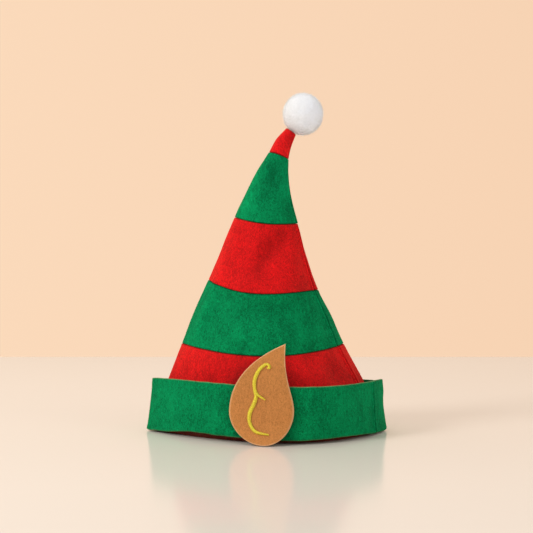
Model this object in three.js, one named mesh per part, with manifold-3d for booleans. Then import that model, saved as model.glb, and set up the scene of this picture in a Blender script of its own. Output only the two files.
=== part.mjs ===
// A felt elf hat: a striped crown sewn from five felt rings, a cuff turned up round its hem, two ear patches
// with a line of embroidery, and a pompom at the tip. Millimetres, +Z up, standing on its hem.
// The ear that is nearest the viewer faces -Y, and the back seam is at +X, turned a little towards that ear.
import * as THREE from "three";
import { mergeVertices } from "three/addons/utils/BufferGeometryUtils.js";
import Module from "manifold-3d";

const wasm = await Module();
wasm.setup();

// Driving dimensions, in millimetres unless a name says otherwise
const HEM_LENGTH = 235; // the opening's outside, from the front fold to the back fold
const HEM_WIDTH = 166; // the opening's outside, from ear to ear
const CROWN_HEIGHT = 300; // hem to the middle of the tip's end
const FELT = 2; // the crown's felt
const SEAM_ALLOWANCE = 5; // how far the felt turns in at a seam
const SEAM_ROLL = 1; // rounding of the felt's shoulder beside a seam
const ALLOWANCE_SHARE = 0.75; // the most of a narrow ring's half width that its allowance fills
const HEM_TUCK = 8; // how far the hem turns in under the cuff
const HEM_TUCK_HEIGHT = 6; // where it starts to turn in, above the floor
const GROOVE_DEPTH = 1; // the back seam's groove
const GROOVE_WIDTH = 5;
const GROOVE_SIDE_SHARE = 1.5; // where the next column stands beside the groove, of its half width
const CUFF_FELT = 2;
const CUFF_HEIGHT = 52.5; // at the front fold
const CUFF_LEAN = 4.5; // how far the cuff's ends lean in at the rim
const CUFF_SHIFT = 1.1; // how far the rim is moved towards the back
const CUFF_ROLL = 0.7; // rounding of the cuff's lower edge
const EAR_HEIGHT = 93.4;
const EAR_WIDTH = 60.8;
const EAR_FELT = 2;
const EAR_FROM_FOLD = 164.1; // along the cuff, from the back fold to the middle of each ear
const EAR_ABOVE_FLOOR = 0.5;
const EAR_EDGE_LIFT = 1.2; // how far an ear's edges stand off the cuff
const EAR_FOOT_LIFT = 10; // and how far its foot does
const EAR_FOOT_SHARE = 0.24; // the share of its height that the foot's lift takes
const EAR_TIP_LEAN = 6; // how far an ear's point leans back towards the crown
const THREAD_WIDTH = 2.4; // the embroidered line
const POMPOM_WIDTH = 41.6;
const POMPOM_HEIGHT = 43.8;
const POMPOM_OVERLAP = 1; // how far the tip's end sits in the pile
const POMPOM_LOCKS = 48;
const LOCK_WIDTH_SHARE = 0.27; // a lock's half width, of the pompom's radius
const LOCK_LENGTH_SHARE = 0.34; // and its half length
const BALL_SHARE = 0.93; // the ball that the locks are fused round, of the same radius
const SOCKET_ROWS = 0.6; // how deep the tip's socket is, in rows of the table of sections
const GAP = 0.35; // between pieces that touch

// How finely the pieces are cut into facets
const CUFF_ROWS = 3;
const CUFF_COLUMNS = 56;
const EAR_ROWS = 18;
const EAR_COLUMNS = 8;
const THREAD_SIDES = 5;
const LINE_STEPS = 28;
const BRANCH_STEPS = 5;
const BALL_COLUMNS = 18;
const BALL_ROWS = 12;
const SOCKET_COLUMNS = 20;
const CURVE_STEPS = 12; // for measuring along a curve
const SMALL_TURN = 0.01; // radians, for walking round a curve
const MERGE_DISTANCE = 1e-4;

const BACK_SEAM_TURN = THREE.MathUtils.degToRad(20.6); // 0 is the back fold, 90 degrees faces the near ear
const HALF_LENGTH = HEM_LENGTH / 2;
const HALF_WIDTH = HEM_WIDTH / 2;
const SLANT = Math.hypot(1, HALF_LENGTH / CROWN_HEIGHT); // a sloping wall's level thickness over its felt's

// Level sections of the crown, from the hem to the tip's end. front and back are the folds, as shares of
// half the hem's length; frontUp, backUp and dip (how much lower the sides hang) are shares of the crown's
// height, and dipLean moves the dip towards the front fold. width is a share of half the hem's width, and skew
// of half its length. fold is the bluntness of the folded ends: 1 is an ellipse and 2 a sharp crease.
const SECTION_COLUMNS = ["front", "frontUp", "back", "backUp", "width", "dip", "dipLean", "skew", "fold"];
const CROWN_SECTIONS = [
  [-1, 0, 1, 0, 1, 0, 0, 0.17, 1.85],
  [-0.924, 0.087, 0.908, 0.087, 0.923, 0.007, 0, 0.13, 1.8],
  [-0.843, 0.172, 0.822, 0.17, 0.84, 0.015, 0, 0.085, 1.72],
  [-0.719, 0.293, 0.659, 0.291, 0.705, 0.025, 0, 0.025, 1.6],
  [-0.616, 0.4, 0.554, 0.383, 0.584, 0.026, 0.25, 0.01, 1.5],
  [-0.494, 0.504, 0.44, 0.471, 0.458, 0.026, 0.5, 0, 1.45],
  [-0.383, 0.607, 0.339, 0.582, 0.343, 0.019, 0.3, 0, 1.4],
  [-0.272, 0.712, 0.265, 0.691, 0.247, 0.012, 0.1, 0, 1.35],
  [-0.182, 0.788, 0.216, 0.765, 0.193, 0.007, 0, 0, 1.3],
  [-0.085, 0.863, 0.187, 0.842, 0.144, 0.003, 0, 0, 1.25],
  [0.02, 0.929, 0.187, 0.905, 0.111, -0.002, 0, 0, 1.2],
  [0.083, 0.972, 0.21, 0.948, 0.091, -0.001, 0, 0, 1.15],
  [0.172, 1.009, 0.25, 0.988, 0.066, 0, 0, 0, 1.1],
].map((row) => Object.fromEntries(SECTION_COLUMNS.map((column, i) => [column, row[i]])));

// The five felt rings, each between two rows of the table of sections
const STRIPES = [
  { name: "crown_stripe_1_red", from: 0, to: 3, columns: 52, rows: 4, colour: "red" },
  { name: "crown_stripe_2_green", from: 3, to: 5, columns: 46, rows: 3, colour: "green" },
  { name: "crown_stripe_3_red", from: 5, to: 7, columns: 40, rows: 3, colour: "red" },
  { name: "crown_stripe_4_green", from: 7, to: 10, columns: 30, rows: 4, colour: "green" },
  { name: "crown_tip_red", from: 10, to: 12, columns: 24, rows: 3, colour: "red" },
];

// Dents and soft ridges of the standing felt. up and tall are shares of the crown's height, turn and wide are
// degrees round it, and depth is a share of the hem's width, below nought for a ridge.
const DENTS = [
  { up: 0.19, turn: 128, depth: 0.012, tall: 0.05, wide: 14 },
  { up: 0.2, turn: 42, depth: 0.014, tall: 0.06, wide: 12 },
  { up: 0.42, turn: 150, depth: -0.009, tall: 0.09, wide: 9 },
  { up: 0.4, turn: 132, depth: 0.011, tall: 0.08, wide: 13 },
  { up: 0.62, turn: 58, depth: 0.012, tall: 0.045, wide: 22 },
  { up: 0.56, turn: 84, depth: 0.008, tall: 0.04, wide: 20 },
  { up: 0.85, turn: 88, depth: 0.01, tall: 0.035, wide: 38 },
  { up: 0.95, turn: 60, depth: 0.006, tall: 0.025, wide: 35 },
  { up: 0.3, turn: 262, depth: 0.014, tall: 0.09, wide: 22 },
  { up: 0.55, turn: 296, depth: 0.011, tall: 0.07, wide: 20 },
];

// The cuff's lower edge and its rim above the floor, as shares of its height, at even turns from the back fold
// round the near side to the front fold, and on round the far side
const CUFF_EDGES = [
  { low: 0.006, high: 0.981 },
  { low: 0.029, high: 1.006 },
  { low: 0.08, high: 1.018 },
  { low: 0.063, high: 1.03 },
  { low: 0.098, high: 1.046 },
  { low: 0.06, high: 1.042 },
  { low: 0.006, high: 1 },
  { low: 0.029, high: 0.94 },
  { low: 0.057, high: 0.93 },
  { low: 0.067, high: 0.92 },
  { low: 0.057, high: 0.885 },
  { low: 0.029, high: 0.918 },
];

// An ear's outline, as cubic curves from its lowest point to its tip. across is a share of the ear's width,
// towards the back seam, and up a share of its height.
const EAR_FRONT_EDGE = [
  { across: 0.05, up: 0 }, { across: -0.24, up: 0 }, { across: -0.51, up: 0.15 }, { across: -0.51, up: 0.342 },
  { across: -0.51, up: 0.64 }, { across: -0.17, up: 0.875 }, { across: 0.352, up: 1 },
];
const EAR_BACK_EDGE = [
  { across: 0.05, up: 0 }, { across: 0.34, up: 0 }, { across: 0.505, up: 0.16 }, { across: 0.505, up: 0.33 },
  { across: 0.505, up: 0.5 }, { across: 0.32, up: 0.655 }, { across: 0.352, up: 1 },
];

// The embroidered line on an ear, and the short stroke that leaves it, in the same shares
const EMBROIDERY_LINE = [
  { across: 0.088, up: 0.772 }, { across: 0.133, up: 0.798 }, { across: 0.112, up: 0.824 },
  { across: 0.036, up: 0.822 }, { across: -0.064, up: 0.746 }, { across: -0.115, up: 0.637 },
  { across: -0.104, up: 0.542 }, { across: -0.079, up: 0.475 }, { across: -0.105, up: 0.402 },
  { across: -0.165, up: 0.306 }, { across: -0.157, up: 0.207 }, { across: -0.061, up: 0.126 },
  { across: 0.124, up: 0.1 },
];
const EMBROIDERY_BRANCH = [
  { across: -0.098, up: 0.538 }, { across: -0.055, up: 0.494 }, { across: 0.068, up: 0.446 },
];

const COLOURS = { red: 0xc4161f, green: 0x07784a, tan: 0xb9763f, yellow: 0xf0d235, white: 0xf2f1ef };

// A smooth curve through the rows of a table, read at any place between them
function smoothValue(rows, key, place) {
  const i = THREE.MathUtils.clamp(Math.floor(place), 0, rows.length - 2);
  const t = place - i;
  const at = (k) => rows[THREE.MathUtils.clamp(k, 0, rows.length - 1)][key];
  const before = i > 0 ? at(i - 1) : 2 * at(0) - at(1);
  const after = i + 2 < rows.length ? at(i + 2) : 2 * at(i + 1) - at(i);
  const rise = at(i + 1) - at(i);
  const startSlope = (at(i + 1) - before) / 2;
  const endSlope = (after - at(i)) / 2;
  return at(i) + startSlope * t + (3 * rise - 2 * startSlope - endSlope) * t * t
    + (startSlope + endSlope - 2 * rise) * t * t * t;
}

// A point on a folded oval: turn goes round it, and fold blunts or sharpens its two ends
function foldedOval(turn, halfLength, halfWidth, fold) {
  const across = Math.sin(turn);
  const blunted = Math.sign(across) * Math.abs(across) ** fold;
  return { along: halfLength * Math.cos(turn), across: halfWidth * blunted };
}

// How far the felt is pushed in by the dents at a place on the crown
function dentDepth(turn, up) {
  return DENTS.reduce((sum, dent) => {
    const around = THREE.MathUtils.radToDeg(turn) - dent.turn;
    const apart = THREE.MathUtils.euclideanModulo(around + 180, 360) - 180;
    const fade = Math.exp(-((apart / dent.wide) ** 2) - ((up - dent.up) / dent.tall) ** 2);
    return sum + dent.depth * HEM_WIDTH * fade;
  }, 0);
}

// The crown at a turn and a place in its table of sections, inset from its outer face
function crownPoint(turn, place, inset = 0) {
  const read = (key) => smoothValue(CROWN_SECTIONS, key, place);
  const front = new THREE.Vector2(read("front") * HALF_LENGTH, read("frontUp") * CROWN_HEIGHT);
  const back = new THREE.Vector2(read("back") * HALF_LENGTH, read("backUp") * CROWN_HEIGHT);
  const middle = front.clone().lerp(back, 0.5);
  const axis = back.clone().sub(front).normalize();
  const depth = inset * SLANT + dentDepth(turn, middle.y / CROWN_HEIGHT);
  const halfLength = back.distanceTo(front) / 2 - depth;
  const oval = foldedOval(turn, halfLength, read("width") * HALF_WIDTH - depth, read("fold"));
  const toSide = Math.sin(turn) ** 2;
  const dip = read("dip") * CROWN_HEIGHT * toSide * (1 - read("dipLean") * Math.cos(turn));
  return new THREE.Vector3(
    middle.x + axis.x * oval.along + read("skew") * HALF_LENGTH * toSide,
    -oval.across,
    middle.y + axis.y * oval.along - dip,
  );
}

// Turns evenly round a ring, with three more at the back seam's groove
function ringTurns(count, grooveHalfTurn) {
  const even = Array.from({ length: count }, (_, i) => (2 * Math.PI * i) / count);
  const clear = even.filter((turn) => Math.abs(turn - BACK_SEAM_TURN) > GROOVE_SIDE_SHARE * grooveHalfTurn);
  const groove = [-grooveHalfTurn, 0, grooveHalfTurn].map((offset) => BACK_SEAM_TURN + offset);
  return [...clear, ...groove].sort((a, b) => a - b);
}

// Half the groove's width as a turn, at a place where a small turn moves a point by speed
function grooveHalfTurn(pointAt) {
  const before = pointAt(BACK_SEAM_TURN - SMALL_TURN);
  const after = pointAt(BACK_SEAM_TURN + SMALL_TURN);
  return (GROOVE_WIDTH / 2) * ((2 * SMALL_TURN) / before.distanceTo(after));
}

// A closed band: the same closed profile in every column, and each column joined to the next
function bandGeometry(turns, profile, pointAt) {
  const positions = [];
  const index = [];
  const count = profile.length;
  turns.forEach((turn) => profile.forEach((spot) => positions.push(...pointAt(turn, spot).toArray())));
  turns.forEach((_, i) => {
    const here = i * count;
    const next = ((i + 1) % turns.length) * count;
    for (let j = 0; j < count; j++) {
      const k = (j + 1) % count;
      index.push(here + j, next + k, next + j, here + j, here + k, next + k);
    }
  });
  return indexedGeometry(positions, index);
}

function indexedGeometry(positions, index) {
  const geometry = new THREE.BufferGeometry();
  geometry.setAttribute("position", new THREE.Float32BufferAttribute(positions, 3));
  geometry.setIndex(index);
  geometry.computeVertexNormals();
  return geometry;
}

function clothMaterial(colour) {
  return new THREE.MeshStandardMaterial({ color: COLOURS[colour], roughness: 0.95, metalness: 0 });
}

function namedMesh(name, geometry, colour) {
  const mesh = new THREE.Mesh(geometry, clothMaterial(colour));
  mesh.name = name;
  return mesh;
}

// How far a ring's felt can turn in at its upper seam, which is less where the ring is narrow
function topAllowance(to) {
  const halfWidth = smoothValue(CROWN_SECTIONS, "width", to) * HALF_WIDTH;
  const reach = SLANT * (SEAM_ALLOWANCE + GROOVE_DEPTH);
  return SEAM_ALLOWANCE * Math.min(1, (ALLOWANCE_SHARE * halfWidth) / reach);
}

// One felt ring of the crown. Its profile runs up the outside and down the inside; from and to count
// millimetres from the lower and the upper seam, share goes between them, and inset is the depth. The hem
// stands on the floor, turned in from where the crown sits against the cuff.
function stripeMesh(stripe) {
  const { from, to, columns, rows } = stripe;
  const isHem = from === 0;
  const edge = GAP / 2;
  const allowance = topAllowance(to);
  const shares = Array.from({ length: rows }, (_, i) => (i + 1) / (rows + 1));
  const lowerOutside = isHem
    ? [{ from: 0, inset: HEM_TUCK }, { atCuff: true, inset: 0 }]
    : [
        { from: edge, inset: SEAM_ALLOWANCE },
        { from: edge, inset: SEAM_ROLL },
        { from: edge + SEAM_ROLL, inset: 0 },
      ];
  const lowerInside = isHem
    ? [{ atCuff: true, inset: FELT }, { from: 0, inset: HEM_TUCK + FELT }]
    : [{ from: edge + FELT, inset: FELT }, { from: edge + FELT, inset: SEAM_ALLOWANCE }];
  const profile = [
    ...lowerOutside,
    ...shares.map((share) => ({ share, inset: 0 })),
    { to: edge + SEAM_ROLL, inset: 0 },
    { to: edge, inset: SEAM_ROLL },
    { to: edge, inset: allowance },
    { to: edge + FELT, inset: allowance },
    { to: edge + FELT, inset: FELT },
    ...shares.toReversed().map((share) => ({ share, inset: FELT })),
    ...lowerInside,
  ];
  const half = grooveHalfTurn((turn) => crownPoint(turn, (from + to) / 2));
  const pointAt = (turn, spot) => {
    const groove = turn === BACK_SEAM_TURN && spot.inset <= FELT ? GROOVE_DEPTH : 0;
    const inset = spot.inset + groove;
    if (spot.atCuff) return cuffPointAtHeight(turn, HEM_TUCK_HEIGHT, CUFF_FELT + GAP + inset);
    const length = meridianLength(turn, from, to);
    const share = spot.share ?? (spot.from !== undefined ? spot.from / length : 1 - spot.to / length);
    return crownPoint(turn, from + share * (to - from), inset);
  };
  return namedMesh(stripe.name, bandGeometry(ringTurns(columns, half), profile, pointAt), stripe.colour);
}

// Length of the crown's felt between two sections, straight up from the hem
function meridianLength(turn, from, to) {
  let length = 0;
  let here = crownPoint(turn, from);
  for (let i = 1; i <= CURVE_STEPS; i++) {
    const next = crownPoint(turn, from + ((to - from) * i) / CURVE_STEPS);
    length += here.distanceTo(next);
    here = next;
  }
  return length;
}

// The cuff's outer face. up is a share of its height, and may pass 1 to carry the ears on above the rim.
function cuffPoint(turn, up, inset = 0) {
  const place = ((turn / (2 * Math.PI) + 1) % 1) * CUFF_EDGES.length;
  const edges = [...CUFF_EDGES, CUFF_EDGES[0], CUFF_EDGES[1]];
  const low = smoothValue(edges, "low", place) * CUFF_HEIGHT;
  const high = smoothValue(edges, "high", place) * CUFF_HEIGHT;
  const { skew, fold } = CROWN_SECTIONS[0];
  const outside = GAP + CUFF_FELT - inset;
  const oval = foldedOval(turn, HALF_LENGTH + outside - CUFF_LEAN * up, HALF_WIDTH + outside, fold);
  return new THREE.Vector3(
    oval.along + skew * HALF_LENGTH * Math.sin(turn) ** 2 + CUFF_SHIFT * up,
    -oval.across,
    THREE.MathUtils.lerp(low, high, up),
  );
}

// The same at a height above the floor
function cuffPointAtHeight(turn, height, inset = 0) {
  const low = cuffPoint(turn, 0).z;
  const share = (height - low) / (cuffPoint(turn, 1).z - low);
  return cuffPoint(turn, share, inset);
}

function cuffMesh() {
  const rollShare = CUFF_ROLL / CUFF_HEIGHT;
  const shares = Array.from({ length: CUFF_ROWS }, (_, i) => (i + 1) / (CUFF_ROWS + 1));
  const profile = [
    { share: 0, inset: CUFF_ROLL },
    { share: rollShare, inset: 0 },
    ...shares.map((share) => ({ share, inset: 0 })),
    { share: 1, inset: 0 },
    { share: 1, inset: CUFF_FELT },
    ...shares.toReversed().map((share) => ({ share, inset: CUFF_FELT })),
    { share: 0, inset: CUFF_FELT },
  ];
  const half = grooveHalfTurn((turn) => cuffPoint(turn, 0.5));
  const pointAt = (turn, spot) => {
    const groove = turn === BACK_SEAM_TURN && spot.inset < CUFF_FELT ? GROOVE_DEPTH : 0;
    return cuffPoint(turn, spot.share, spot.inset + groove);
  };
  return namedMesh("cuff", bandGeometry(ringTurns(CUFF_COLUMNS, half), profile, pointAt), "green");
}

// The turn that lies a distance along the cuff from the back fold, on the near side (1) or the far side (-1)
function turnAlongCuff(distance, side) {
  const step = SMALL_TURN * side;
  let turn = 0;
  let left = distance;
  let here = cuffPoint(turn, 0.5);
  for (;;) {
    const next = cuffPoint(turn + step, 0.5);
    const length = Math.hypot(next.x - here.x, next.y - here.y);
    if (left <= length) return turn + (step * left) / length;
    left -= length;
    turn += step;
    here = next;
  }
}

// A point on an ear: across and up in millimetres from the foot of its middle line, out from its back face
function earPoint(side, across, up, out) {
  const turn = turnAlongCuff(EAR_FROM_FOLD - across, side);
  const height = EAR_ABOVE_FLOOR + up;
  const place = cuffPointAtHeight(turn, height);
  const before = cuffPointAtHeight(turn - SMALL_TURN, height);
  const along = cuffPointAtHeight(turn + SMALL_TURN, height).sub(before).normalize();
  const outward = new THREE.Vector3(-along.y, along.x, 0);
  const footLift = EAR_FOOT_LIFT * Math.max(0, 1 - up / (EAR_FOOT_SHARE * EAR_HEIGHT)) ** 2;
  const edgeLift = EAR_EDGE_LIFT * (across / (EAR_WIDTH / 2)) ** 2;
  const tipLean = EAR_TIP_LEAN * Math.max(0, (height - CUFF_HEIGHT) / (EAR_HEIGHT - CUFF_HEIGHT)) ** 2;
  place.addScaledVector(outward, GAP + edgeLift - tipLean + out);
  place.y -= side * footLift;
  return place;
}

function edgeCurve(points) {
  const spots = points.map(({ across, up }) => new THREE.Vector2(across * EAR_WIDTH, up * EAR_HEIGHT));
  const path = new THREE.CurvePath();
  for (let i = 0; i + 3 < spots.length; i += 3) {
    path.add(new THREE.CubicBezierCurve(...spots.slice(i, i + 4)));
  }
  return path;
}

// An ear patch: a flat felt drop that follows the cuff, as a grid from its foot to its tip on both faces
function earMesh(name, side) {
  const front = edgeCurve(EAR_FRONT_EDGE);
  const back = edgeCurve(EAR_BACK_EDGE);
  const positions = [];
  const index = [];
  const faceSize = 2 + (EAR_ROWS - 1) * (EAR_COLUMNS + 1);
  const faces = [0, EAR_FELT];
  for (const out of faces) {
    const push = (spot) => positions.push(...earPoint(side, spot.x, spot.y, out).toArray());
    push(front.getPoint(0));
    for (let i = 1; i < EAR_ROWS; i++) {
      const a = front.getPoint(i / EAR_ROWS);
      const b = back.getPoint(i / EAR_ROWS);
      for (let j = 0; j <= EAR_COLUMNS; j++) push(a.clone().lerp(b, j / EAR_COLUMNS));
    }
    push(front.getPoint(1));
  }
  const spot = (i, j) => (i === 0 ? 0 : i === EAR_ROWS ? faceSize - 1 : 1 + (i - 1) * (EAR_COLUMNS + 1) + j);
  const triangle = (a, b, c) => {
    if (a !== b && b !== c && c !== a) index.push(...(side > 0 ? [a, b, c] : [a, c, b]));
  };
  for (let i = 0; i < EAR_ROWS; i++) {
    for (let j = 0; j < EAR_COLUMNS; j++) {
      const corners = [spot(i, j), spot(i, j + 1), spot(i + 1, j + 1), spot(i + 1, j)];
      const [a, b, c, d] = corners;
      triangle(a, c, b);
      triangle(a, d, c);
      const [e, f, g, h] = corners.map((k) => k + faceSize);
      triangle(e, f, g);
      triangle(e, g, h);
    }
    for (const [j, turned] of [[0, false], [EAR_COLUMNS, true]]) {
      const low = spot(i, j);
      const high = spot(i + 1, j);
      const quad = turned ? [high, low] : [low, high];
      triangle(quad[0], quad[0] + faceSize, quad[1]);
      triangle(quad[1], quad[0] + faceSize, quad[1] + faceSize);
    }
  }
  return namedMesh(name, indexedGeometry(positions, index), "tan");
}

function toManifold(geometry) {
  const bare = new THREE.BufferGeometry();
  const source = geometry.index ? geometry.toNonIndexed() : geometry;
  bare.setAttribute("position", source.getAttribute("position"));
  const merged = mergeVertices(bare, MERGE_DISTANCE);
  return new wasm.Manifold(new wasm.Mesh({
    numProp: 3,
    vertProperties: new Float32Array(merged.attributes.position.array),
    triVerts: new Uint32Array(merged.index.array),
  }));
}

function fromManifold(solid) {
  const { vertProperties, triVerts } = solid.getMesh();
  return indexedGeometry(Array.from(vertProperties), Array.from(triVerts));
}

// A stroke of raised embroidery on an ear, as a round thread along its points
function strokeGeometry(points, side, steps) {
  const out = EAR_FELT + GAP + THREAD_WIDTH / 2;
  const line = new THREE.CatmullRomCurve3(
    points.map(({ across, up }) => earPoint(side, across * EAR_WIDTH, up * EAR_HEIGHT, out)),
  );
  const section = new THREE.Shape();
  for (let i = 0; i < THREAD_SIDES; i++) {
    const angle = (2 * Math.PI * i) / THREAD_SIDES;
    const place = [(THREAD_WIDTH / 2) * Math.cos(angle), (THREAD_WIDTH / 2) * Math.sin(angle)];
    if (i === 0) section.moveTo(...place);
    else section.lineTo(...place);
  }
  section.closePath();
  return new THREE.ExtrudeGeometry(section, { steps, extrudePath: line, bevelEnabled: false });
}

function embroideryMesh(name, side) {
  const line = toManifold(strokeGeometry(EMBROIDERY_LINE, side, LINE_STEPS));
  const branch = toManifold(strokeGeometry(EMBROIDERY_BRANCH, side, BRANCH_STEPS));
  return namedMesh(name, fromManifold(line.add(branch)), "yellow");
}

// The middle of the tip's end, and the way it faces
function tipEnd() {
  const last = CROWN_SECTIONS.length - 1;
  const front = crownPoint(Math.PI, last);
  const back = crownPoint(0, last);
  const axis = back.clone().sub(front).normalize();
  return { end: front.lerp(back, 0.5), direction: new THREE.Vector3(-axis.z, 0, axis.x) };
}

// The pompom: locks of pile fused round a ball, with a socket that the tip's end sits in
function pompomMesh() {
  const stretch = POMPOM_HEIGHT / POMPOM_WIDTH;
  const radius = POMPOM_WIDTH / 2;
  const goldenTurn = Math.PI * (3 - Math.sqrt(5));
  let solid = toManifold(new THREE.SphereGeometry(radius * BALL_SHARE, BALL_COLUMNS, BALL_ROWS));
  for (let i = 0; i < POMPOM_LOCKS; i++) {
    const up = 1 - (2 * (i + 0.5)) / POMPOM_LOCKS;
    const level = Math.sqrt(1 - up * up);
    const outward = new THREE.Vector3(level * Math.cos(i * goldenTurn), level * Math.sin(i * goldenTurn), up);
    const lock = new THREE.IcosahedronGeometry(1, 0);
    lock.scale(radius * LOCK_WIDTH_SHARE, radius * LOCK_WIDTH_SHARE, radius * LOCK_LENGTH_SHARE);
    lock.applyQuaternion(new THREE.Quaternion().setFromUnitVectors(new THREE.Vector3(0, 0, 1), outward));
    lock.translate(...outward.clone().multiplyScalar(radius * (1 - LOCK_LENGTH_SHARE)).toArray());
    solid = solid.add(toManifold(lock));
  }
  const { end, direction } = tipEnd();
  const reach = 1 / Math.hypot(direction.x / radius, direction.z / (radius * stretch));
  const centre = end.clone().addScaledVector(direction, reach - POMPOM_OVERLAP);
  solid = solid.scale([1, 1, stretch]).translate(centre.toArray());
  return namedMesh("pompom", fromManifold(solid.subtract(toManifold(tipSocket(direction)))), "white");
}

// The space that the tip's end needs in the pompom: the tip, a gap larger all round and past its end
function tipSocket(direction) {
  const last = CROWN_SECTIONS.length - 1;
  const sides = SOCKET_COLUMNS;
  const places = [last - SOCKET_ROWS, last - SOCKET_ROWS / 2, last, last];
  const positions = [];
  const index = [];
  places.forEach((place, row) => {
    for (let i = 0; i < sides; i++) {
      const point = crownPoint((2 * Math.PI * i) / sides, place, -2 * GAP);
      if (row === places.length - 1) point.addScaledVector(direction, GAP);
      positions.push(...point.toArray());
    }
  });
  for (let row = 0; row + 1 < places.length; row++) {
    for (let i = 0; i < sides; i++) {
      const a = row * sides + i;
      const b = row * sides + ((i + 1) % sides);
      index.push(a, a + sides, b, b, a + sides, b + sides);
    }
  }
  const top = (places.length - 1) * sides;
  for (let i = 1; i + 1 < sides; i++) {
    index.push(0, i, i + 1, top, top + i + 1, top + i);
  }
  return indexedGeometry(positions, index);
}

const hat = new THREE.Group();
const crown = new THREE.Group();
crown.add(...STRIPES.map(stripeMesh));
hat.add(crown, cuffMesh());
for (const [label, side] of [["near", 1], ["far", -1]]) {
  hat.add(earMesh(`ear_${label}`, side), embroideryMesh(`ear_${label}_embroidery`, side));
}
hat.add(pompomMesh());

// The origin is the middle of the hat's box, on the surface that the hem stands on
const box = new THREE.Box3().setFromObject(hat);
const middle = box.getCenter(new THREE.Vector3());
hat.position.set(-middle.x, -middle.y, 0);

export default hat;
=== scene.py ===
"""A striped felt elf hat: crown, turned-up cuff, embroidered ears and plush pompom, on a pale table.

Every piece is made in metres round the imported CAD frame. Turns go round the hat from its back fold (+X)
past the near ear (-Y) to its front fold (-X), and places go up the crown by rows of its table of sections.
"""

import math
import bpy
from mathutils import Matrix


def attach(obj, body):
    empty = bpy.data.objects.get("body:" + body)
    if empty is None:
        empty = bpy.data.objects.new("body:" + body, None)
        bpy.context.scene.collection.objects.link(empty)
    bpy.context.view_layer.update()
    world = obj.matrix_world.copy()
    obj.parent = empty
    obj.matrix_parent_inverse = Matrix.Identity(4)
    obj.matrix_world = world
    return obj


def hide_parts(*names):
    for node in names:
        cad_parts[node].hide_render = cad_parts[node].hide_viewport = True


bl_info = {
    "name": "Elf hat",
    "version": (1, 0, 0),
    "blender": (4, 5, 0),
    "location": "View3D > Sidebar > Elf hat",
    "description": "Makes a striped felt elf hat and the table that it stands on",
    "category": "Object",
}

from functools import partial

import bpy
import numpy as np
from mathutils import Vector, noise

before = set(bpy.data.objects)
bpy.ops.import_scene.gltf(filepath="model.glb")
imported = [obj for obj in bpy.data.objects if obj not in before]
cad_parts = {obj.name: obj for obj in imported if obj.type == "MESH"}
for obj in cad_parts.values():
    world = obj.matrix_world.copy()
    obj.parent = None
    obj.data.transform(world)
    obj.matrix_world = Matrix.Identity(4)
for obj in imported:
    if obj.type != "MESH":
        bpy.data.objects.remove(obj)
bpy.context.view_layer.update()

MM = 0.001

# The form of the hat, the same as in the CAD frame
HEM_LENGTH = 235 * MM
HEM_WIDTH = 166 * MM
CROWN_HEIGHT = 300 * MM
CUFF_HEIGHT = 52.5 * MM
CUFF_LEAN = 4.5 * MM
CUFF_SHIFT = 1.1 * MM
CUFF_FLARE = 1.1 * MM
EAR_HEIGHT = 93.4 * MM
EAR_WIDTH = 60.8 * MM
EAR_FROM_FOLD = 164.1 * MM
EAR_ABOVE_FLOOR = 0.5 * MM
EAR_EDGE_LIFT = 1.2 * MM
EAR_FOOT_LIFT = 10 * MM
EAR_FOOT_SHARE = 0.24
EAR_TIP_LEAN = 6 * MM
EAR_SHADE_WIDTH = 5.5 * MM
POMPOM_WIDTH = 41.6 * MM
POMPOM_HEIGHT = 43.8 * MM
POMPOM_OVERLAP = 1 * MM
GAP = 0.35 * MM
SEAM_SLIT = GAP / 2
SEAM_ALLOWANCE = 5 * MM
HEM_TUCK = 8 * MM
HEM_TUCK_HEIGHT = 6 * MM
SEAM_FULL_GIRTH = 200 * MM
CUFF_FOOT_DEPTH = 2.2 * MM
EAR_SHADE = 0.33
HALF_LENGTH = HEM_LENGTH / 2
HALF_WIDTH = HEM_WIDTH / 2
SLANT = math.hypot(1, HALF_LENGTH / CROWN_HEIGHT)
CUFF_SEAM_TURN = math.radians(32.5)

# The felt's relief: waves, puckers at the seams, and where it lies calm near the floor
PUCKER = 0.3 * MM
PUCKER_REACH = 5 * MM
CALM_HEIGHT = 14 * MM
CUFF_CALM_HEIGHT = 9 * MM
CUFF_WAVE = 1.15
CUFF_SWAY = 0.5 * MM
CUFF_HOLLOW = 0.9 * MM
CUFF_BAND = 0.6 * MM
CUFF_EDGE_WAVE = 0.35 * MM
CUFF_SEAM_SHARE = 0.9
EAR_WAVE = 0.7
EAR_MIDDLE_SHARE = 0.42
EAR_ROUND_OFF = 0.45 * MM
EAR_BORDER = 0.9 * MM
EAR_BORDER_PALENESS = 0.65
TIP_ROOM_SHARE = 0.62

# How dark painted shade and how light painted highlight may make the felt, and how dark the painted shade in
# the seams between the rings is
DARKEST = 0.97
CUFF_DARKEST = 0.9
LIGHTEST = -0.3
SEAM_SHADE = 0.75
SEAM_SHADE_WIDTH = 0.7 * MM

# Embroidery and seam stitches
STITCH_LIFT = 0.4 * MM
SATIN_ARCH = 1.4 * MM
SATIN_SLANT = 0.35
SATIN_JITTER = 0.09
SEAM_STITCH_SPACING = 3.2 * MM
SEAM_STITCH_LENGTH = 2.4 * MM
SEAM_STITCH_THREAD = 0.4 * MM
SEAM_STITCH_ARCH = 0.25 * MM

# The pompom's core: its share of the pile inside the ball, its rings and columns of faces, and its flat seat
PILE_SHARE_INSIDE = 0.78
POMPOM_RINGS = 72
POMPOM_COLUMNS = 112
POMPOM_SEAT_WIDTH = 8 * MM
POMPOM_SEAT_GAP = 0.5 * MM

# Turns close enough to measure the girth of a ring by
FINE_TURNS = np.linspace(0, 2 * math.pi, 721)[:-1]

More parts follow.
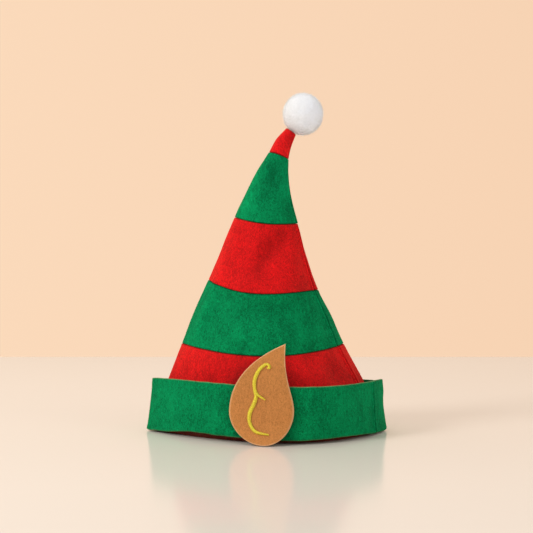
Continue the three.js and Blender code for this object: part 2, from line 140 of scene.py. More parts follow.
# Level sections from the hem to the tip's end. front, back and skew are shares of half the hem's length,
# width of half its width, and front_up, back_up and dip of the crown's height. fold blunts the folded ends.
SECTION_COLUMNS = ("front", "front_up", "back", "back_up", "width", "dip", "dip_lean", "skew", "fold")
CROWN_SECTIONS = np.array([
    (-1, 0, 1, 0, 1, 0, 0, 0.17, 1.85),
    (-0.924, 0.087, 0.908, 0.087, 0.923, 0.007, 0, 0.13, 1.8),
    (-0.843, 0.172, 0.822, 0.17, 0.84, 0.015, 0, 0.085, 1.72),
    (-0.719, 0.293, 0.659, 0.291, 0.705, 0.025, 0, 0.025, 1.6),
    (-0.616, 0.4, 0.554, 0.383, 0.584, 0.026, 0.25, 0.01, 1.5),
    (-0.494, 0.504, 0.44, 0.471, 0.458, 0.026, 0.5, 0, 1.45),
    (-0.383, 0.607, 0.339, 0.582, 0.343, 0.019, 0.3, 0, 1.4),
    (-0.272, 0.712, 0.265, 0.691, 0.247, 0.012, 0.1, 0, 1.35),
    (-0.182, 0.788, 0.216, 0.765, 0.193, 0.007, 0, 0, 1.3),
    (-0.085, 0.863, 0.187, 0.842, 0.144, 0.003, 0, 0, 1.25),
    (0.02, 0.929, 0.187, 0.905, 0.111, -0.002, 0, 0, 1.2),
    (0.083, 0.972, 0.21, 0.948, 0.091, -0.001, 0, 0, 1.15),
    (0.172, 1.009, 0.25, 0.988, 0.066, 0, 0, 0, 1.1),
])

# The five felt rings: the CAD node, its first and last row of sections, its felt, and the turns in degrees of
# its back seam's lower and upper end, because the rings' own seams don't quite line up
STRIPES = (
    ("crown_stripe_1_red", 0, 3, "red", (24, 23.5)),
    ("crown_stripe_2_green", 3, 5, "green", (25.5, 22)),
    ("crown_stripe_3_red", 5, 7, "red", (20, 19)),
    ("crown_stripe_4_green", 7, 10, "green", (14, 14)),
    ("crown_tip_red", 10, 12, "red", (14, 14)),
)

# Broad dents: up (a share of the crown's height), turn (degrees), depth (a share of HEM_WIDTH), tall (as up)
# and wide (degrees)
DENTS = np.array([
    (0.19, 128, 0.012, 0.05, 14),
    (0.2, 42, 0.014, 0.06, 12),
    (0.42, 150, -0.009, 0.09, 9),
    (0.4, 132, 0.011, 0.08, 13),
    (0.62, 58, 0.012, 0.045, 22),
    (0.56, 84, 0.008, 0.04, 20),
    (0.85, 88, 0.01, 0.035, 38),
    (0.95, 60, 0.006, 0.025, 35),
    (0.3, 262, 0.014, 0.09, 22),
    (0.55, 296, 0.011, 0.07, 20),
])

# Fine creases of the felt: side (1 near, -1 far), the two ends in millimetres along X and Z, depth and width
# in millimetres, and the painted shade there. Below nought they are ridges, and the painted shade is a
# painted highlight.
CREASES = (
    (1, 16, 194, -12, 162, 3.4, 9.5, 0.28),
    (1, -25, 197, -19, 172, 1.3, 8.0, 0.06),
    (1, 28, 196, 24, 162, -2.0, 8.0, -0.13),
    (1, -38, 178, -46, 158, -0.8, 7.0, -0.05),
    (1, 7, 267, 3, 243, 2.4, 8.5, 0.44),
    (1, 2, 238, -5, 217, 1.0, 7.5, 0.12),
    (1, -9, 259, -24, 217, 0.0, 4.5, -0.24),
    (1, 17, 250, 19, 236, -0.6, 3.5, -0.18),
    (1, 22, 226, 24, 222, 0.8, 5.0, 0.12),
    (1, -38, 121, 30, 119, 2.6, 12.0, 0.17),
    (1, 40, 136, 58, 112, 0.4, 14.0, 0.09),
    (1, 15, 145, 40, 143, 0.0, 9.0, 0.05),
    (1, -57, 132, -69, 100, -1.1, 4.5, -0.08),
    (1, -47, 131, -59, 99, 1.0, 4.5, 0.05),
    (1, -30, 97, 50, 94, -0.6, 7.0, -0.07),
    (1, 48, 105, 60, 99, -1.6, 6.0, -0.12),
    (1, 52, 103, 61, 105, 1.2, 2.2, 0.1),
    (1, -82, 66, -70, 58, 1.0, 5.0, 0.08),
    (1, -24, 82, -36, 50, 0.6, 9.0, 0.22),
    (1, -80, 78, -76, 56, -0.5, 8.0, -0.06),
    (1, 62, 70, 70, 52, 1.2, 6.0, 0.14),
    (1, 40, 78, 46, 54, 0.7, 5.0, 0.05),
    (1, 22, 296, 26, 281, 1.0, 5.0, 0.22),
    (1, 26, 292, 34, 292, 0.3, 5.0, 0.2),
    (-1, 40, 190, 12, 150, 2.0, 7.0, 0.12),
    (-1, -20, 240, 4, 225, 1.4, 6.0, 0.1),
    (-1, -52, 130, -20, 104, 1.6, 8.0, 0.1),
    (-1, 58, 116, 50, 92, -1.0, 5.0, -0.05),
    (-1, -60, 76, -30, 60, 1.2, 6.0, 0.1),
)

# Waves of the cuff's lower edge: the turn and its width in degrees, and how far the edge lifts
CUFF_WAVES = (
    (0, 7, 1.0 * MM), (134, 8, 1.6 * MM), (152, 5, -0.6 * MM), (180, 7, 1.2 * MM), (250, 12, 1.0 * MM),
)

# The cuff's lower edge and rim, as shares of its height, at even turns
CUFF_EDGES = np.array([
    (0.006, 0.981), (0.029, 1.006), (0.08, 1.018), (0.063, 1.03), (0.098, 1.046), (0.06, 1.042),
    (0.006, 1), (0.029, 0.94), (0.057, 0.93), (0.067, 0.92), (0.057, 0.885), (0.029, 0.918),
])

# An ear's outline as cubic curves from foot to tip, and its embroidery: shares of its width and height
EAR_FRONT_EDGE = (
    (0.05, 0), (-0.24, 0), (-0.51, 0.15), (-0.51, 0.342), (-0.51, 0.64), (-0.17, 0.875), (0.352, 1),
)
EAR_BACK_EDGE = ((0.05, 0), (0.34, 0), (0.505, 0.16), (0.505, 0.33), (0.505, 0.5), (0.32, 0.655), (0.352, 1))
EMBROIDERY_LINE = (
    (0.097, 0.757), (0.112, 0.777), (0.088, 0.795), (0.036, 0.793), (-0.058, 0.735), (-0.113, 0.637),
    (-0.104, 0.542), (-0.079, 0.475), (-0.105, 0.402), (-0.165, 0.306), (-0.157, 0.207), (-0.061, 0.126),
    (0.142, 0.102),
)
EMBROIDERY_BRANCH = ((-0.098, 0.538), (-0.055, 0.494), (0.068, 0.446))
LINE_WIDTHS = (1.0, 0.9, 0.8, 0.95, 1.1, 1.15, 1.05, 1.1, 1.25, 1.25, 1.1, 1.0, 0.45)
BRANCH_WIDTHS = (1.0, 0.85, 0.4)

# The camera and the table's far edge, measured from the photograph: one pixel is 1 mm at the hat's middle
CAMERA_PLACE = (0, -1.2, 0.19)
CAMERA_AIM = (0, 0, 0.1645)
CAMERA_LENS = 81.05
CAMERA_SENSOR = 36
CAMERA_CLIP_START = 0.01
TABLE_FAR_EDGE = 0.766
TABLE_SIZE = 6.0
FLOOR_DROP = 0.2 * MM
STUDIO_SKY = (0.48, 0.48, 0.49, 1.0)
STUDIO_FRONT = (0.5, 0.485, 0.47, 1.0)
BACKDROP_RIGHT = "#f7d3b3"

# Soft discs of light: name, place, aim, size, power in watts, colour
SOFT_LIGHTS = (
    ("key_light", (-2.0, -1.15, 1.4), (0, 0, 0.14), 1.0, 35, "#fffefc"),
    ("fill_light", (1.7, -1.1, 0.8), (0, 0, 0.16), 1.2, 7, "#fffaf6"),
    ("top_light", (-0.2, 0.4, 2.0), (0, 0, 0.1), 1.4, 12, "#fffaf4"),
)
# A narrow light from low on the right, which lifts the shaded side of the pompom
SNOOT = ("pompom_snoot", (0.9, -1.35, 0.08), (0.04, 0, 0.318), 220, "#d8e6ff")
SNOOT_ANGLE = math.radians(3.4)
SNOOT_BLEND = 0.6
SNOOT_RADIUS = 0.12


def linear(hex_colour):
    """An sRGB hex colour as linear red, green and blue."""
    channels = [int(hex_colour[i : i + 2], 16) / 255 for i in (1, 3, 5)]
    return tuple(c / 12.92 if c <= 0.04045 else ((c + 0.055) / 1.055) ** 2.4 for c in channels)


def colour_property(name, description, hex_colour):
    return bpy.props.FloatVectorProperty(
        name=name, description=description, subtype="COLOR", size=3, min=0, max=1, default=linear(hex_colour)
    )


def length_property(name, description, default, low, high):
    return bpy.props.FloatProperty(
        name=name, description=description, default=default, min=low, max=high, unit="LENGTH", precision=5
    )


class ElfHatSizes(bpy.types.PropertyGroup):
    """Sizes that change how the felt and the stitching look."""

    felt: length_property("Felt", "Thickness of the felt", 2 * MM, 1 * MM, 3 * MM)
    mesh_step: length_property(
        "Mesh step", "Distance between the points of a felt mesh", 1.7 * MM, 1 * MM, 6 * MM
    )
    seam_roll: length_property(
        "Seam roll", "Radius of the felt's shoulder at a seam", 1.1 * MM, 0.5 * MM, 3 * MM
    )
    fuzz_length: length_property(
        "Fuzz length", "Length of the fibres that stand off the felt", 1.5 * MM, 0, 4 * MM
    )
    fuzz_thickness: length_property("Fuzz thickness", "Thickness of those fibres", 0.085 * MM, 0, 0.3 * MM)
    fuzz_density: bpy.props.FloatProperty(
        name="Fuzz density", description="Fibres on a square metre of felt",
        default=130000, min=0, max=1000000,
    )
    thread: length_property("Thread", "Thickness of the embroidery thread", 0.42 * MM, 0.1 * MM, 1 * MM)
    stitch_spacing: length_property(
        "Stitch spacing", "Distance between satin stitches", 0.4 * MM, 0.1 * MM, 2 * MM
    )
    embroidery_width: length_property("Line width", "Width of the embroidered line", 3.1 * MM, 1 * MM, 5 * MM)
    pile_length: length_property(
        "Pile length", "Length of the pompom's pile beyond its core", 2.3 * MM, 0, 6 * MM
    )
    pile_thickness: length_property("Pile thickness", "Thickness of a strand of pile", 0.18 * MM, 0, 1 * MM)
    pile_count: bpy.props.IntProperty(
        name="Pile count", description="Strands in the pompom's pile", default=15000, min=0, max=40000
    )


class ElfHatColours(bpy.types.PropertyGroup):
    """Colours of the felts, the thread, the pile and the table."""

    red: colour_property("Red felt", "The red stripes and the tip", "#bf0d10")
    green: colour_property("Green felt", "The green stripes and the cuff", "#037041")
    tan: colour_property("Tan felt", "The ears", "#bb7c44")
    yellow: colour_property("Yellow thread", "The embroidery", "#ffe434")
    white: colour_property("White pile", "The pompom", "#ffffff")
    table: colour_property("Table", "The pale table top", "#f0e6da")
    backdrop: colour_property("Backdrop", "The colour behind the table", "#fbdabb")


def hat_sizes():
    return bpy.context.scene.elf_hat_sizes


def hat_colours():
    return bpy.context.scene.elf_hat_colours


# Reading the tables


def smooth_value(values, place):
    """A smooth curve through a row of values, read at places between them."""
    values = np.asarray(values, float)
    place = np.asarray(place, float)
    i = np.clip(np.floor(place).astype(int), 0, len(values) - 2)
    t = place - i
    here, there = values[i], values[i + 1]
    before = np.where(i > 0, values[np.maximum(i - 1, 0)], 2 * here - there)
    after = np.where(i + 2 < len(values), values[np.minimum(i + 2, len(values) - 1)], 2 * there - here)
    rise = there - here
    start, end = (there - before) / 2, (after - here) / 2
    return here + start * t + (3 * rise - 2 * start - end) * t**2 + (start + end - 2 * rise) * t**3


def section(column, place):
    return smooth_value(CROWN_SECTIONS[:, SECTION_COLUMNS.index(column)], place)


def folded_oval(turn, half_length, half_width, fold):
    across = np.sin(turn)
    return half_length * np.cos(turn), np.sign(across) * half_width * np.abs(across) ** fold


def bell(distance, width):
    return np.exp(-((distance / width) ** 2))


# Relief of the felt: everything that pushes its surface in or out of the plain form


def degrees_apart(turn, middle):
    """How far turns lie from a middle in degrees, from -180 to 180."""
    return (np.degrees(turn) - middle + 540) % 360 - 180


def dent_depth(turn, up):
    """How far the broad dents push the crown in."""
    depth = np.zeros(np.broadcast(turn, up).shape)
    for dent_up, dent_turn, dent, tall, wide in DENTS:
        depth += dent * HEM_WIDTH * bell(degrees_apart(turn, dent_turn), wide) * bell(up - dent_up, tall)
    return depth


def creases_at(turn, points):
    """How far the fine creases push the felt in, and the painted shade and painted highlight they put on it,
    from the places of its plain form.
    """
    depth, painted_crease_shade = np.zeros(turn.shape), np.zeros(turn.shape)
    x, z = points[..., 0] / MM, points[..., 2] / MM
    for side, x1, z1, x2, z2, deep, wide, dark in CREASES:
        run = np.array((x2 - x1, z2 - z1), float)
        share = np.clip(((x - x1) * run[0] + (z - z1) * run[1]) / (run @ run), 0, 1)
        apart = np.hypot(x - x1 - share * run[0], z - z1 - share * run[1])
        facing = np.clip(np.sin(turn) * side * 4, 0, 1)
        taper = 0.55 + 0.45 * np.sin(math.pi * share)
        here = bell(apart, wide) * taper * facing
        depth += deep * MM * here
        painted_crease_shade += dark * here
    return depth, painted_crease_shade


def rumple(points, size, seed):
    """Smooth noise between about -1 and 1, with lumps of that size, at each point."""
    flat = points.reshape(-1, 3) / size + seed
    values = np.fromiter((noise.noise(Vector(p)) for p in flat), float, len(flat))
    return values.reshape(points.shape[:-1])


def felt_rumple(points, seed):
    """The slow waves and small lumps that soft felt has all over, outwards."""
    return (0.85 * rumple(points, 23 * MM, seed) + 0.28 * rumple(points, 8 * MM, seed + 7)) * MM


def hem_tuck(turn, height):
    """How far the crown's hem is turned in under the cuff's lower edge at heights over the table."""
    top = np.minimum(HEM_TUCK_HEIGHT, cuff_edges(turn)[0] + MM)
    return HEM_TUCK * np.clip(1 - height / top, 0, 1)


def back_seam_depth(distance):
    """The groove of the back seam and the ridges of turned felt beside it, from the distance to the seam."""
    groove = 3.6 * MM * bell(distance, 1.0 * MM)
    ridge = 1.2 * MM * bell(distance - 2.6 * MM, 1.5 * MM)
    far_shoulder = 0.6 * MM * bell(distance + 2.4 * MM, 1.5 * MM)
    return groove - ridge - far_shoulder


def back_seam_shade(distance):
    """Painted shade in the back seam's groove, and painted highlight on the ridge beside it."""
    return 0.85 * bell(distance, 1.0 * MM) - 0.45 * bell(distance - 2.3 * MM, 0.8 * MM)


# The surfaces of the hat


def crown_points(turn, place, inset=0.0):
    """Points of the crown at turns and places, a depth under its outer face."""
    front = np.stack((section("front", place) * HALF_LENGTH, section("front_up", place) * CROWN_HEIGHT), -1)
    back = np.stack((section("back", place) * HALF_LENGTH, section("back_up", place) * CROWN_HEIGHT), -1)
    middle = (front + back) / 2
    length = np.linalg.norm(back - front, axis=-1)
    axis = (back - front) / length[..., None]
    depth = inset * SLANT + dent_depth(turn, middle[..., 1] / CROWN_HEIGHT)
    along, across = folded_oval(
        turn, length / 2 - depth, section("width", place) * HALF_WIDTH - depth, section("fold", place)
    )
    to_side = np.sin(turn) ** 2
    x = middle[..., 0] + axis[..., 0] * along + section("skew", place) * HALF_LENGTH * to_side
    dip = section("dip", place) * CROWN_HEIGHT * to_side * (1 - section("dip_lean", place) * np.cos(turn))
    z = middle[..., 1] + axis[..., 1] * along - dip
    return np.stack(np.broadcast_arrays(x, -across, z), -1)


def cuff_edges(turn):
    """Height of the cuff's lower edge and of its rim at each turn."""
    rows = np.vstack((CUFF_EDGES, CUFF_EDGES[:2]))
    place = (turn / (2 * math.pi) % 1) * len(CUFF_EDGES)
    lift = 0.0
    for middle, width, height in CUFF_WAVES:
        lift = lift + height * bell(degrees_apart(turn, middle), width)
    return smooth_value(rows[:, 0], place) * CUFF_HEIGHT + lift, smooth_value(rows[:, 1], place) * CUFF_HEIGHT


def cuff_points(turn, up, inset=0.0):
    """Points of the cuff at turns and shares of its height, a depth under its outer face."""
    low, high = cuff_edges(turn)
    flare = CUFF_FLARE * np.abs(np.cos(turn)) ** 4 * (1 - np.clip(up, 0, 1)) ** 6
    outside = GAP + hat_sizes().felt + flare - inset
    fold = section("fold", 0.0)
    along, across = folded_oval(turn, HALF_LENGTH + outside - CUFF_LEAN * up, HALF_WIDTH + outside, fold)
    x = along + section("skew", 0.0) * HALF_LENGTH * np.sin(turn) ** 2 + CUFF_SHIFT * up
    return np.stack(np.broadcast_arrays(x, -across, low + (high - low) * up), -1)


def run_lengths(points):
    """The distance along a run of points from the first to each."""
    return np.concatenate(((0.0,), np.cumsum(np.linalg.norm(np.diff(points, axis=0), axis=1))))


def ring_lengths(points):
    """The same along a closed ring of points, and then the whole way round."""
    return run_lengths(np.concatenate((points, points[:1])))


def even_turns(ring, count, seam_turn):
    """Turns that cut a ring into even lengths, with more of them at its back seam. ring gives its points."""
    fine = np.linspace(0, 2 * math.pi, 2001)
    lengths = ring_lengths(ring(fine[:-1]))
    seam = np.interp(seam_turn, fine, lengths)
    step = lengths[-1] / count
    places = np.arange(count) * step
    near_seam = seam + np.linspace(-5 * MM, 5 * MM, 27)
    places = places[np.abs(places - seam) > 5 * MM + step / 2]
    places = np.sort(np.concatenate((places, near_seam)))
    return np.interp(places, lengths, fine), places - seam


# Meshes


def new_object(name, data):
    """A new object with that data in the scene, at the origin."""
    item = bpy.data.objects.new(name, data)
    bpy.context.scene.collection.objects.link(item)
    return item


def point_attribute(mesh, key, values, kind="FLOAT", field="value"):
    """Stores a value for each point of the mesh under a name."""
    layer = mesh.attributes.new(key, kind, "POINT")
    layer.data.foreach_set(field, np.ascontiguousarray(values, dtype=np.float32).ravel())


def finished_mesh(name, points, faces, material, attributes=None):
    """An object of the given mesh at the origin, with smooth shading and float attributes on its points."""
    mesh = bpy.data.meshes.new(name)
    mesh.from_pydata(points.reshape(-1, 3).tolist(), [], faces)
    for key, values in (attributes or {}).items():
        point_attribute(mesh, key, values)
    mesh.polygons.foreach_set("use_smooth", [True] * len(mesh.polygons))
    mesh.materials.append(material)
    mesh.update()
    return new_object(name, mesh)


def band_faces(columns, rows):
    """Quads of a closed band: rows is the number of points in each column's closed profile."""
    i, j = np.meshgrid(np.arange(columns), np.arange(rows), indexing="ij")
    right, above = (i + 1) % columns, (j + 1) % rows
    quads = np.stack((i * rows + j, i * rows + above, right * rows + above, right * rows + j), -1)
    return quads.reshape(-1, 4).tolist()


def put_on_hat(piece, slot, *nodes):
    """Lets a finished piece ride on the hat and hides the CAD nodes that it stands for; its slot is not used.
    """
    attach(piece, "root")
    if nodes:
        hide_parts(*nodes)


def baked(piece, name):
    """The piece's evaluated shape as a plain mesh object of that name. The piece itself is removed."""
    evaluated = piece.evaluated_get(bpy.context.evaluated_depsgraph_get())
    mesh = bpy.data.meshes.new_from_object(evaluated)
    mesh.name = name
    source = piece.data
    bpy.data.objects.remove(piece)
    bpy.data.meshes.remove(source)
    return new_object(name, mesh)


# Node trees


def add_node(tree, kind, inputs=None, **settings):
    """Adds a node. inputs gives a value, another node's output or a node, which stands for its first output,
    for a socket's name or number."""
    node = tree.nodes.new(kind)
    for key, value in settings.items():
        setattr(node, key, value)
    for key, value in (inputs or {}).items():
        if isinstance(value, bpy.types.Node):
            value = value.outputs[0]
        if isinstance(value, bpy.types.NodeSocket):
            tree.links.new(value, node.inputs[key])
        else:
            node.inputs[key].default_value = value
    return node


def new_tree(name, sockets):
    """A Geometry Nodes tree with a geometry in and out, and the given named inputs: (name, kind, default)."""
    tree = bpy.data.node_groups.new(name, "GeometryNodeTree")
    tree.interface.new_socket("Geometry", in_out="INPUT", socket_type="NodeSocketGeometry")
    tree.interface.new_socket("Geometry", in_out="OUTPUT", socket_type="NodeSocketGeometry")
    for label, kind, default in sockets:
        socket = tree.interface.new_socket(label, in_out="INPUT", socket_type="NodeSocket" + kind)
        if default is not None:
            socket.default_value = default
    return tree, add_node(tree, "NodeGroupInput")


def with_tree(piece, tree, values):
    """Puts the tree on a piece with values for its named inputs, and returns the piece baked to a mesh."""
    modifier = piece.modifiers.new(tree.name, "NODES")
    modifier.node_group = tree
    identifiers = {item.name: item.identifier for item in tree.interface.items_tree if item.in_out == "INPUT"}
    for label, value in values.items():
        modifier[identifiers[label]] = value
    piece.data.update()
    return baked(piece, piece.name)


def fibre_tree():
    """Fibres that stand or lie on a surface, with more where its attribute "fuzzy" is higher."""
    tree, group = new_tree("fibres_on_surface", (
        ("Density", "Float", 1000.0),
        ("Length", "Float", 1 * MM),
        ("Thickness", "Float", 0.1 * MM),
        ("Lean", "Float", 1.0),
        ("Bend", "Float", 0.3),
        ("Keep Surface", "Bool", False),
        ("Seed", "Int", 1),
        ("Material", "Material", None),
    ))
    of_group = group.outputs
    node = partial(add_node, tree)
    fuzzy = node("GeometryNodeInputNamedAttribute", {"Name": "fuzzy"}, data_type="FLOAT")
    density = node("ShaderNodeMath", {0: of_group["Density"], 1: fuzzy}, operation="MULTIPLY")
    scatter = node("GeometryNodeDistributePointsOnFaces", {
        "Mesh": of_group["Geometry"], "Density": density, "Seed": of_group["Seed"],
    }, distribute_method="RANDOM")
    radius = node("ShaderNodeMath", {0: of_group["Thickness"], 1: 0.5}, operation="MULTIPLY")
    strand = node("GeometryNodeMeshCone", {
        "Vertices": 3, "Side Segments": 2, "Radius Top": 0.0,
        "Radius Bottom": radius, "Depth": of_group["Length"],
    }, fill_type="NGON")
    place = node("ShaderNodeSeparateXYZ", {0: node("GeometryNodeInputPosition")})
    share = node("ShaderNodeMath", {0: place.outputs[2], 1: of_group["Length"]}, operation="DIVIDE")
    square = node("ShaderNodeMath", {0: share, 1: 2.0}, operation="POWER")
    reach = node("ShaderNodeMath", {0: of_group["Length"], 1: of_group["Bend"]}, operation="MULTIPLY")
    sideways = node("ShaderNodeMath", {0: square, 1: reach}, operation="MULTIPLY")
    offset = node("ShaderNodeCombineXYZ", {0: sideways})
    bent = node("GeometryNodeSetPosition", {"Geometry": strand, "Offset": offset})
    less_lean = node("ShaderNodeMath", {0: of_group["Lean"], 1: -1.0}, operation="MULTIPLY")
    low = node("ShaderNodeCombineXYZ", {0: less_lean, 1: less_lean, 2: 0.0})
    high = node("ShaderNodeCombineXYZ", {0: of_group["Lean"], 1: of_group["Lean"], 2: 2 * math.pi})
    tilt = node("FunctionNodeRandomValue", {
        0: low, 1: high, "Seed": of_group["Seed"],
    }, data_type="FLOAT_VECTOR")
    turned = node("FunctionNodeEulerToRotation", {0: tilt})
    rotation = node("FunctionNodeRotateRotation", {
        0: scatter.outputs["Rotation"], 1: turned,
    }, rotation_space="LOCAL")
    scale = node("FunctionNodeRandomValue", {2: 0.55, 3: 1.15, "Seed": 3}, data_type="FLOAT")
    fibres = node("GeometryNodeInstanceOnPoints", {
        "Points": scatter.outputs["Points"], "Instance": bent,
        "Rotation": rotation, "Scale": scale.outputs[1],
    })
    real = node("GeometryNodeRealizeInstances", {0: fibres})
    surface = node("GeometryNodeSwitch", {
        0: of_group["Keep Surface"], 2: of_group["Geometry"],
    }, input_type="GEOMETRY")
    joined = node("GeometryNodeJoinGeometry")
    tree.links.new(real.outputs[0], joined.inputs[0])
    tree.links.new(surface.outputs[0], joined.inputs[0])
    smooth = node("GeometryNodeSetShadeSmooth", {0: joined})
    painted = node("GeometryNodeSetMaterial", {0: smooth, "Material": of_group["Material"]})
    node("NodeGroupOutput", {0: painted})
    return tree


def stitch_tree():
    """Stitches along a path of mesh edges, whose points carry "out", away from the cloth, and "width"."""
    tree, group = new_tree("stitches_on_path", (
        ("Spacing", "Float", 0.4 * MM),
        ("Stitch Length", "Float", 2.5 * MM),
        ("Thread", "Float", 0.4 * MM),
        ("Arch", "Float", 0.3 * MM),
        ("Slant", "Float", 0.3),
        ("Jitter", "Float", 0.06),
        ("Seed", "Int", 1),
        ("Material", "Material", None),
    ))
    of_group = group.outputs
    node = partial(add_node, tree)
    path = node("GeometryNodeMeshToCurve", {0: of_group["Geometry"]})
    spaced = node("GeometryNodeResampleCurve", {
        "Curve": path, "Length": of_group["Spacing"],
    }, mode="LENGTH")
    ends = node("GeometryNodeCurvePrimitiveLine", {"Start": (0, -0.5, 0), "End": (0, 0.5, 0)})
    line = node("GeometryNodeResampleCurve", {"Curve": ends, "Count": 6}, mode="COUNT")
    place = node("ShaderNodeSeparateXYZ", {0: node("GeometryNodeInputPosition")})
    along = node("ShaderNodeMath", {0: place.outputs[1], 1: of_group["Stitch Length"]}, operation="MULTIPLY")
    square = node("ShaderNodeMath", {0: place.outputs[1], 1: place.outputs[1]}, operation="MULTIPLY")
    drop = node("ShaderNodeMath", {0: square, 1: -4.0, 2: 1.0}, operation="MULTIPLY_ADD")
    rise = node("ShaderNodeMath", {0: drop, 1: of_group["Arch"]}, operation="MULTIPLY")
    arched = node("ShaderNodeCombineXYZ", {1: along, 2: rise})
    thread_path = node("GeometryNodeSetPosition", {"Geometry": line, "Position": arched})
    radius = node("ShaderNodeMath", {0: of_group["Thread"], 1: 0.5}, operation="MULTIPLY")
    ring = node("GeometryNodeCurvePrimitiveCircle", {"Resolution": 6, "Radius": radius})
    stitch = node("GeometryNodeCurveToMesh", {
        "Curve": thread_path, "Profile Curve": ring, "Fill Caps": True,
    })
    out = node("GeometryNodeInputNamedAttribute", {"Name": "out"}, data_type="FLOAT_VECTOR")
    width = node("GeometryNodeInputNamedAttribute", {"Name": "width"}, data_type="FLOAT")
    tangent = node("GeometryNodeInputTangent")
    upright = node("FunctionNodeAxesToRotation", {
        0: out, 1: tangent,
    }, primary_axis="Z", secondary_axis="X")
    less = node("ShaderNodeMath", {0: of_group["Slant"], 1: of_group["Jitter"]}, operation="SUBTRACT")
    more = node("ShaderNodeMath", {0: of_group["Slant"], 1: of_group["Jitter"]}, operation="ADD")
    slant = node("FunctionNodeRandomValue", {
        2: less, 3: more, "Seed": of_group["Seed"],
    }, data_type="FLOAT")
    turned = node("FunctionNodeAxisAngleToRotation", {0: (0, 0, 1), 1: slant.outputs[1]})
    rotation = node("FunctionNodeRotateRotation", {
        0: upright, 1: turned,
    }, rotation_space="LOCAL")
    scale = node("ShaderNodeCombineXYZ", {0: 1.0, 1: width, 2: 1.0})
    stitches = node("GeometryNodeInstanceOnPoints", {
        "Points": spaced, "Instance": stitch,
        "Rotation": rotation, "Scale": scale,
    })
    real = node("GeometryNodeRealizeInstances", {0: stitches})
    smooth = node("GeometryNodeSetShadeSmooth", {0: real})
    painted = node("GeometryNodeSetMaterial", {0: smooth, "Material": of_group["Material"]})
    node("NodeGroupOutput", {0: painted})
    return tree


def shared_tree(maker, name):
    """The named tree, made once and then used by every piece that needs it."""
    return bpy.data.node_groups.get(name) or maker()


# Materials


def new_material(name):
    """A material with nodes, and its tree and shader."""
    material = bpy.data.materials.new(name)
    material.use_nodes = True
    return material, material.node_tree, material.node_tree.nodes["Principled BSDF"]


def set_sockets(shader, values):
    for key, value in values.items():
        shader.inputs[key].default_value = value


def set_stops(node, *stops):
    """Gives a colour ramp its stops, a position and a colour each. The first two are its ends."""
    elements = node.color_ramp.elements
    for number, (position, colour) in enumerate(stops):
        stop = elements[number] if number < 2 else elements.new(position)
        stop.position = position
        stop.color = colour


def toned(colour, amount):
    """A linear colour, lighter above 1 and darker below it, with an alpha."""
    return tuple(min(1.0, channel * amount) for channel in colour) + (1.0,)


def felt_material(name, colour, edge_amount, patchiness, contrast, gloss, nap_weight, nap_colour):
    """Craft felt, made by pressing dyed fibres together: dull, mottled by fibre clumps 1 to 3 mm across that
    lie mostly upright, with single fibres that catch the light. Its colour carries painted shade in seams,
    creases, beside the ears and on the hem under the cuff, and painted highlight on ridges; it is a little
    paler where the cloth is cut."""
    material, tree, shader = new_material(name)
    node = partial(add_node, tree)
    place = node("ShaderNodeTexCoord").outputs["Object"]
    upright = node("ShaderNodeMapping", {0: place, "Scale": (1.0, 1.0, 0.6)}).outputs[0]
    # 2 mm clumps with finer grain in them, the speckle that shows across the whole felt
    clumps = node("ShaderNodeTexNoise", {
        "Vector": upright, "Scale": 480.0, "Detail": 4.0, "Roughness": 0.62, "Distortion": 0.3,
    })
    # 14 mm patches where the dye and the nap differ
    patches = node("ShaderNodeTexNoise", {
        "Vector": upright, "Scale": 70.0, "Detail": 2.0, "Roughness": 0.5, "Distortion": 0.3,
    })
    # 1.1 mm threads of matted fibre
    fibres = node("ShaderNodeTexNoise", {
        "Vector": upright, "Scale": 900.0, "Detail": 3.0, "Roughness": 0.6, "Distortion": 0.8,
        "Offset": 0.9, "Gain": 1.6,
    }, noise_type="RIDGED_MULTIFRACTAL", normalize=True)
    grain = node("ShaderNodeMix", {
        "Factor": 0.3, 2: clumps, 3: fibres,
    }, data_type="FLOAT")
    mixed = node("ShaderNodeMix", {
        "Factor": patchiness, 2: grain, 3: patches,
    }, data_type="FLOAT")
    tones = node("ShaderNodeValToRGB", {"Fac": mixed})
    dark, light = toned(colour, 1 - 0.75 * contrast), toned(colour, 1 + 1.8 * contrast)
    set_stops(tones, (0.36, dark), (0.64, light), (0.5, toned(colour, 1.0)))
    # Light flecks about 1.8 mm long, where single fibres stand up
    specks = node("ShaderNodeTexNoise", {
        "Vector": upright, "Scale": 560.0, "Detail": 2.0, "Roughness": 0.6, "Distortion": 2.0,
    })
    flecks = node("ShaderNodeMapRange", {
        0: specks, 1: 0.54, 2: 0.7, 3: 1.0, 4: 1.0 + 1.3 * contrast,
    })
    # Painted shade, and below nought painted highlight, from the shade attribute scales the felt's colour
    painted_shade_and_highlight = node("ShaderNodeAttribute", attribute_name="shade")
    lightness = node("ShaderNodeMath", {0: flecks, 1: painted_shade_and_highlight.outputs["Fac"]}, operation="SUBTRACT")
    shaded = node("ShaderNodeVectorMath", {
        0: tones, "Scale": lightness,
    }, operation="SCALE")
    cut = node("ShaderNodeAttribute", attribute_name="cut_edge")
    cut_share = node("ShaderNodeMath", {0: cut.outputs["Fac"], 1: edge_amount}, operation="MULTIPLY")
    pale = tuple(channel * 0.4 + tone * 0.6 for channel, tone in zip(colour, linear("#ffd0a0"))) + (1.0,)
    finished = node("ShaderNodeMix", {
        "Factor": cut_share, 6: shaded, 7: pale,
    }, data_type="RGBA")
    tree.links.new(finished.outputs[2], shader.inputs["Base Color"])
    relief = node("ShaderNodeMath", {
        0: fibres, 1: 0.3, 2: clumps,
    }, operation="MULTIPLY_ADD")
    bump = node("ShaderNodeBump", {
        "Strength": 0.4, "Distance": 0.8 * MM, "Height": relief,
    })
    tree.links.new(bump.outputs[0], shader.inputs["Normal"])
    set_sockets(shader, {
        "Roughness": 0.85, "IOR": 1.5, "Specular IOR Level": gloss,
        "Sheen Weight": nap_weight, "Sheen Roughness": 0.5, "Sheen Tint": linear(nap_colour) + (1.0,),
    })
    return material


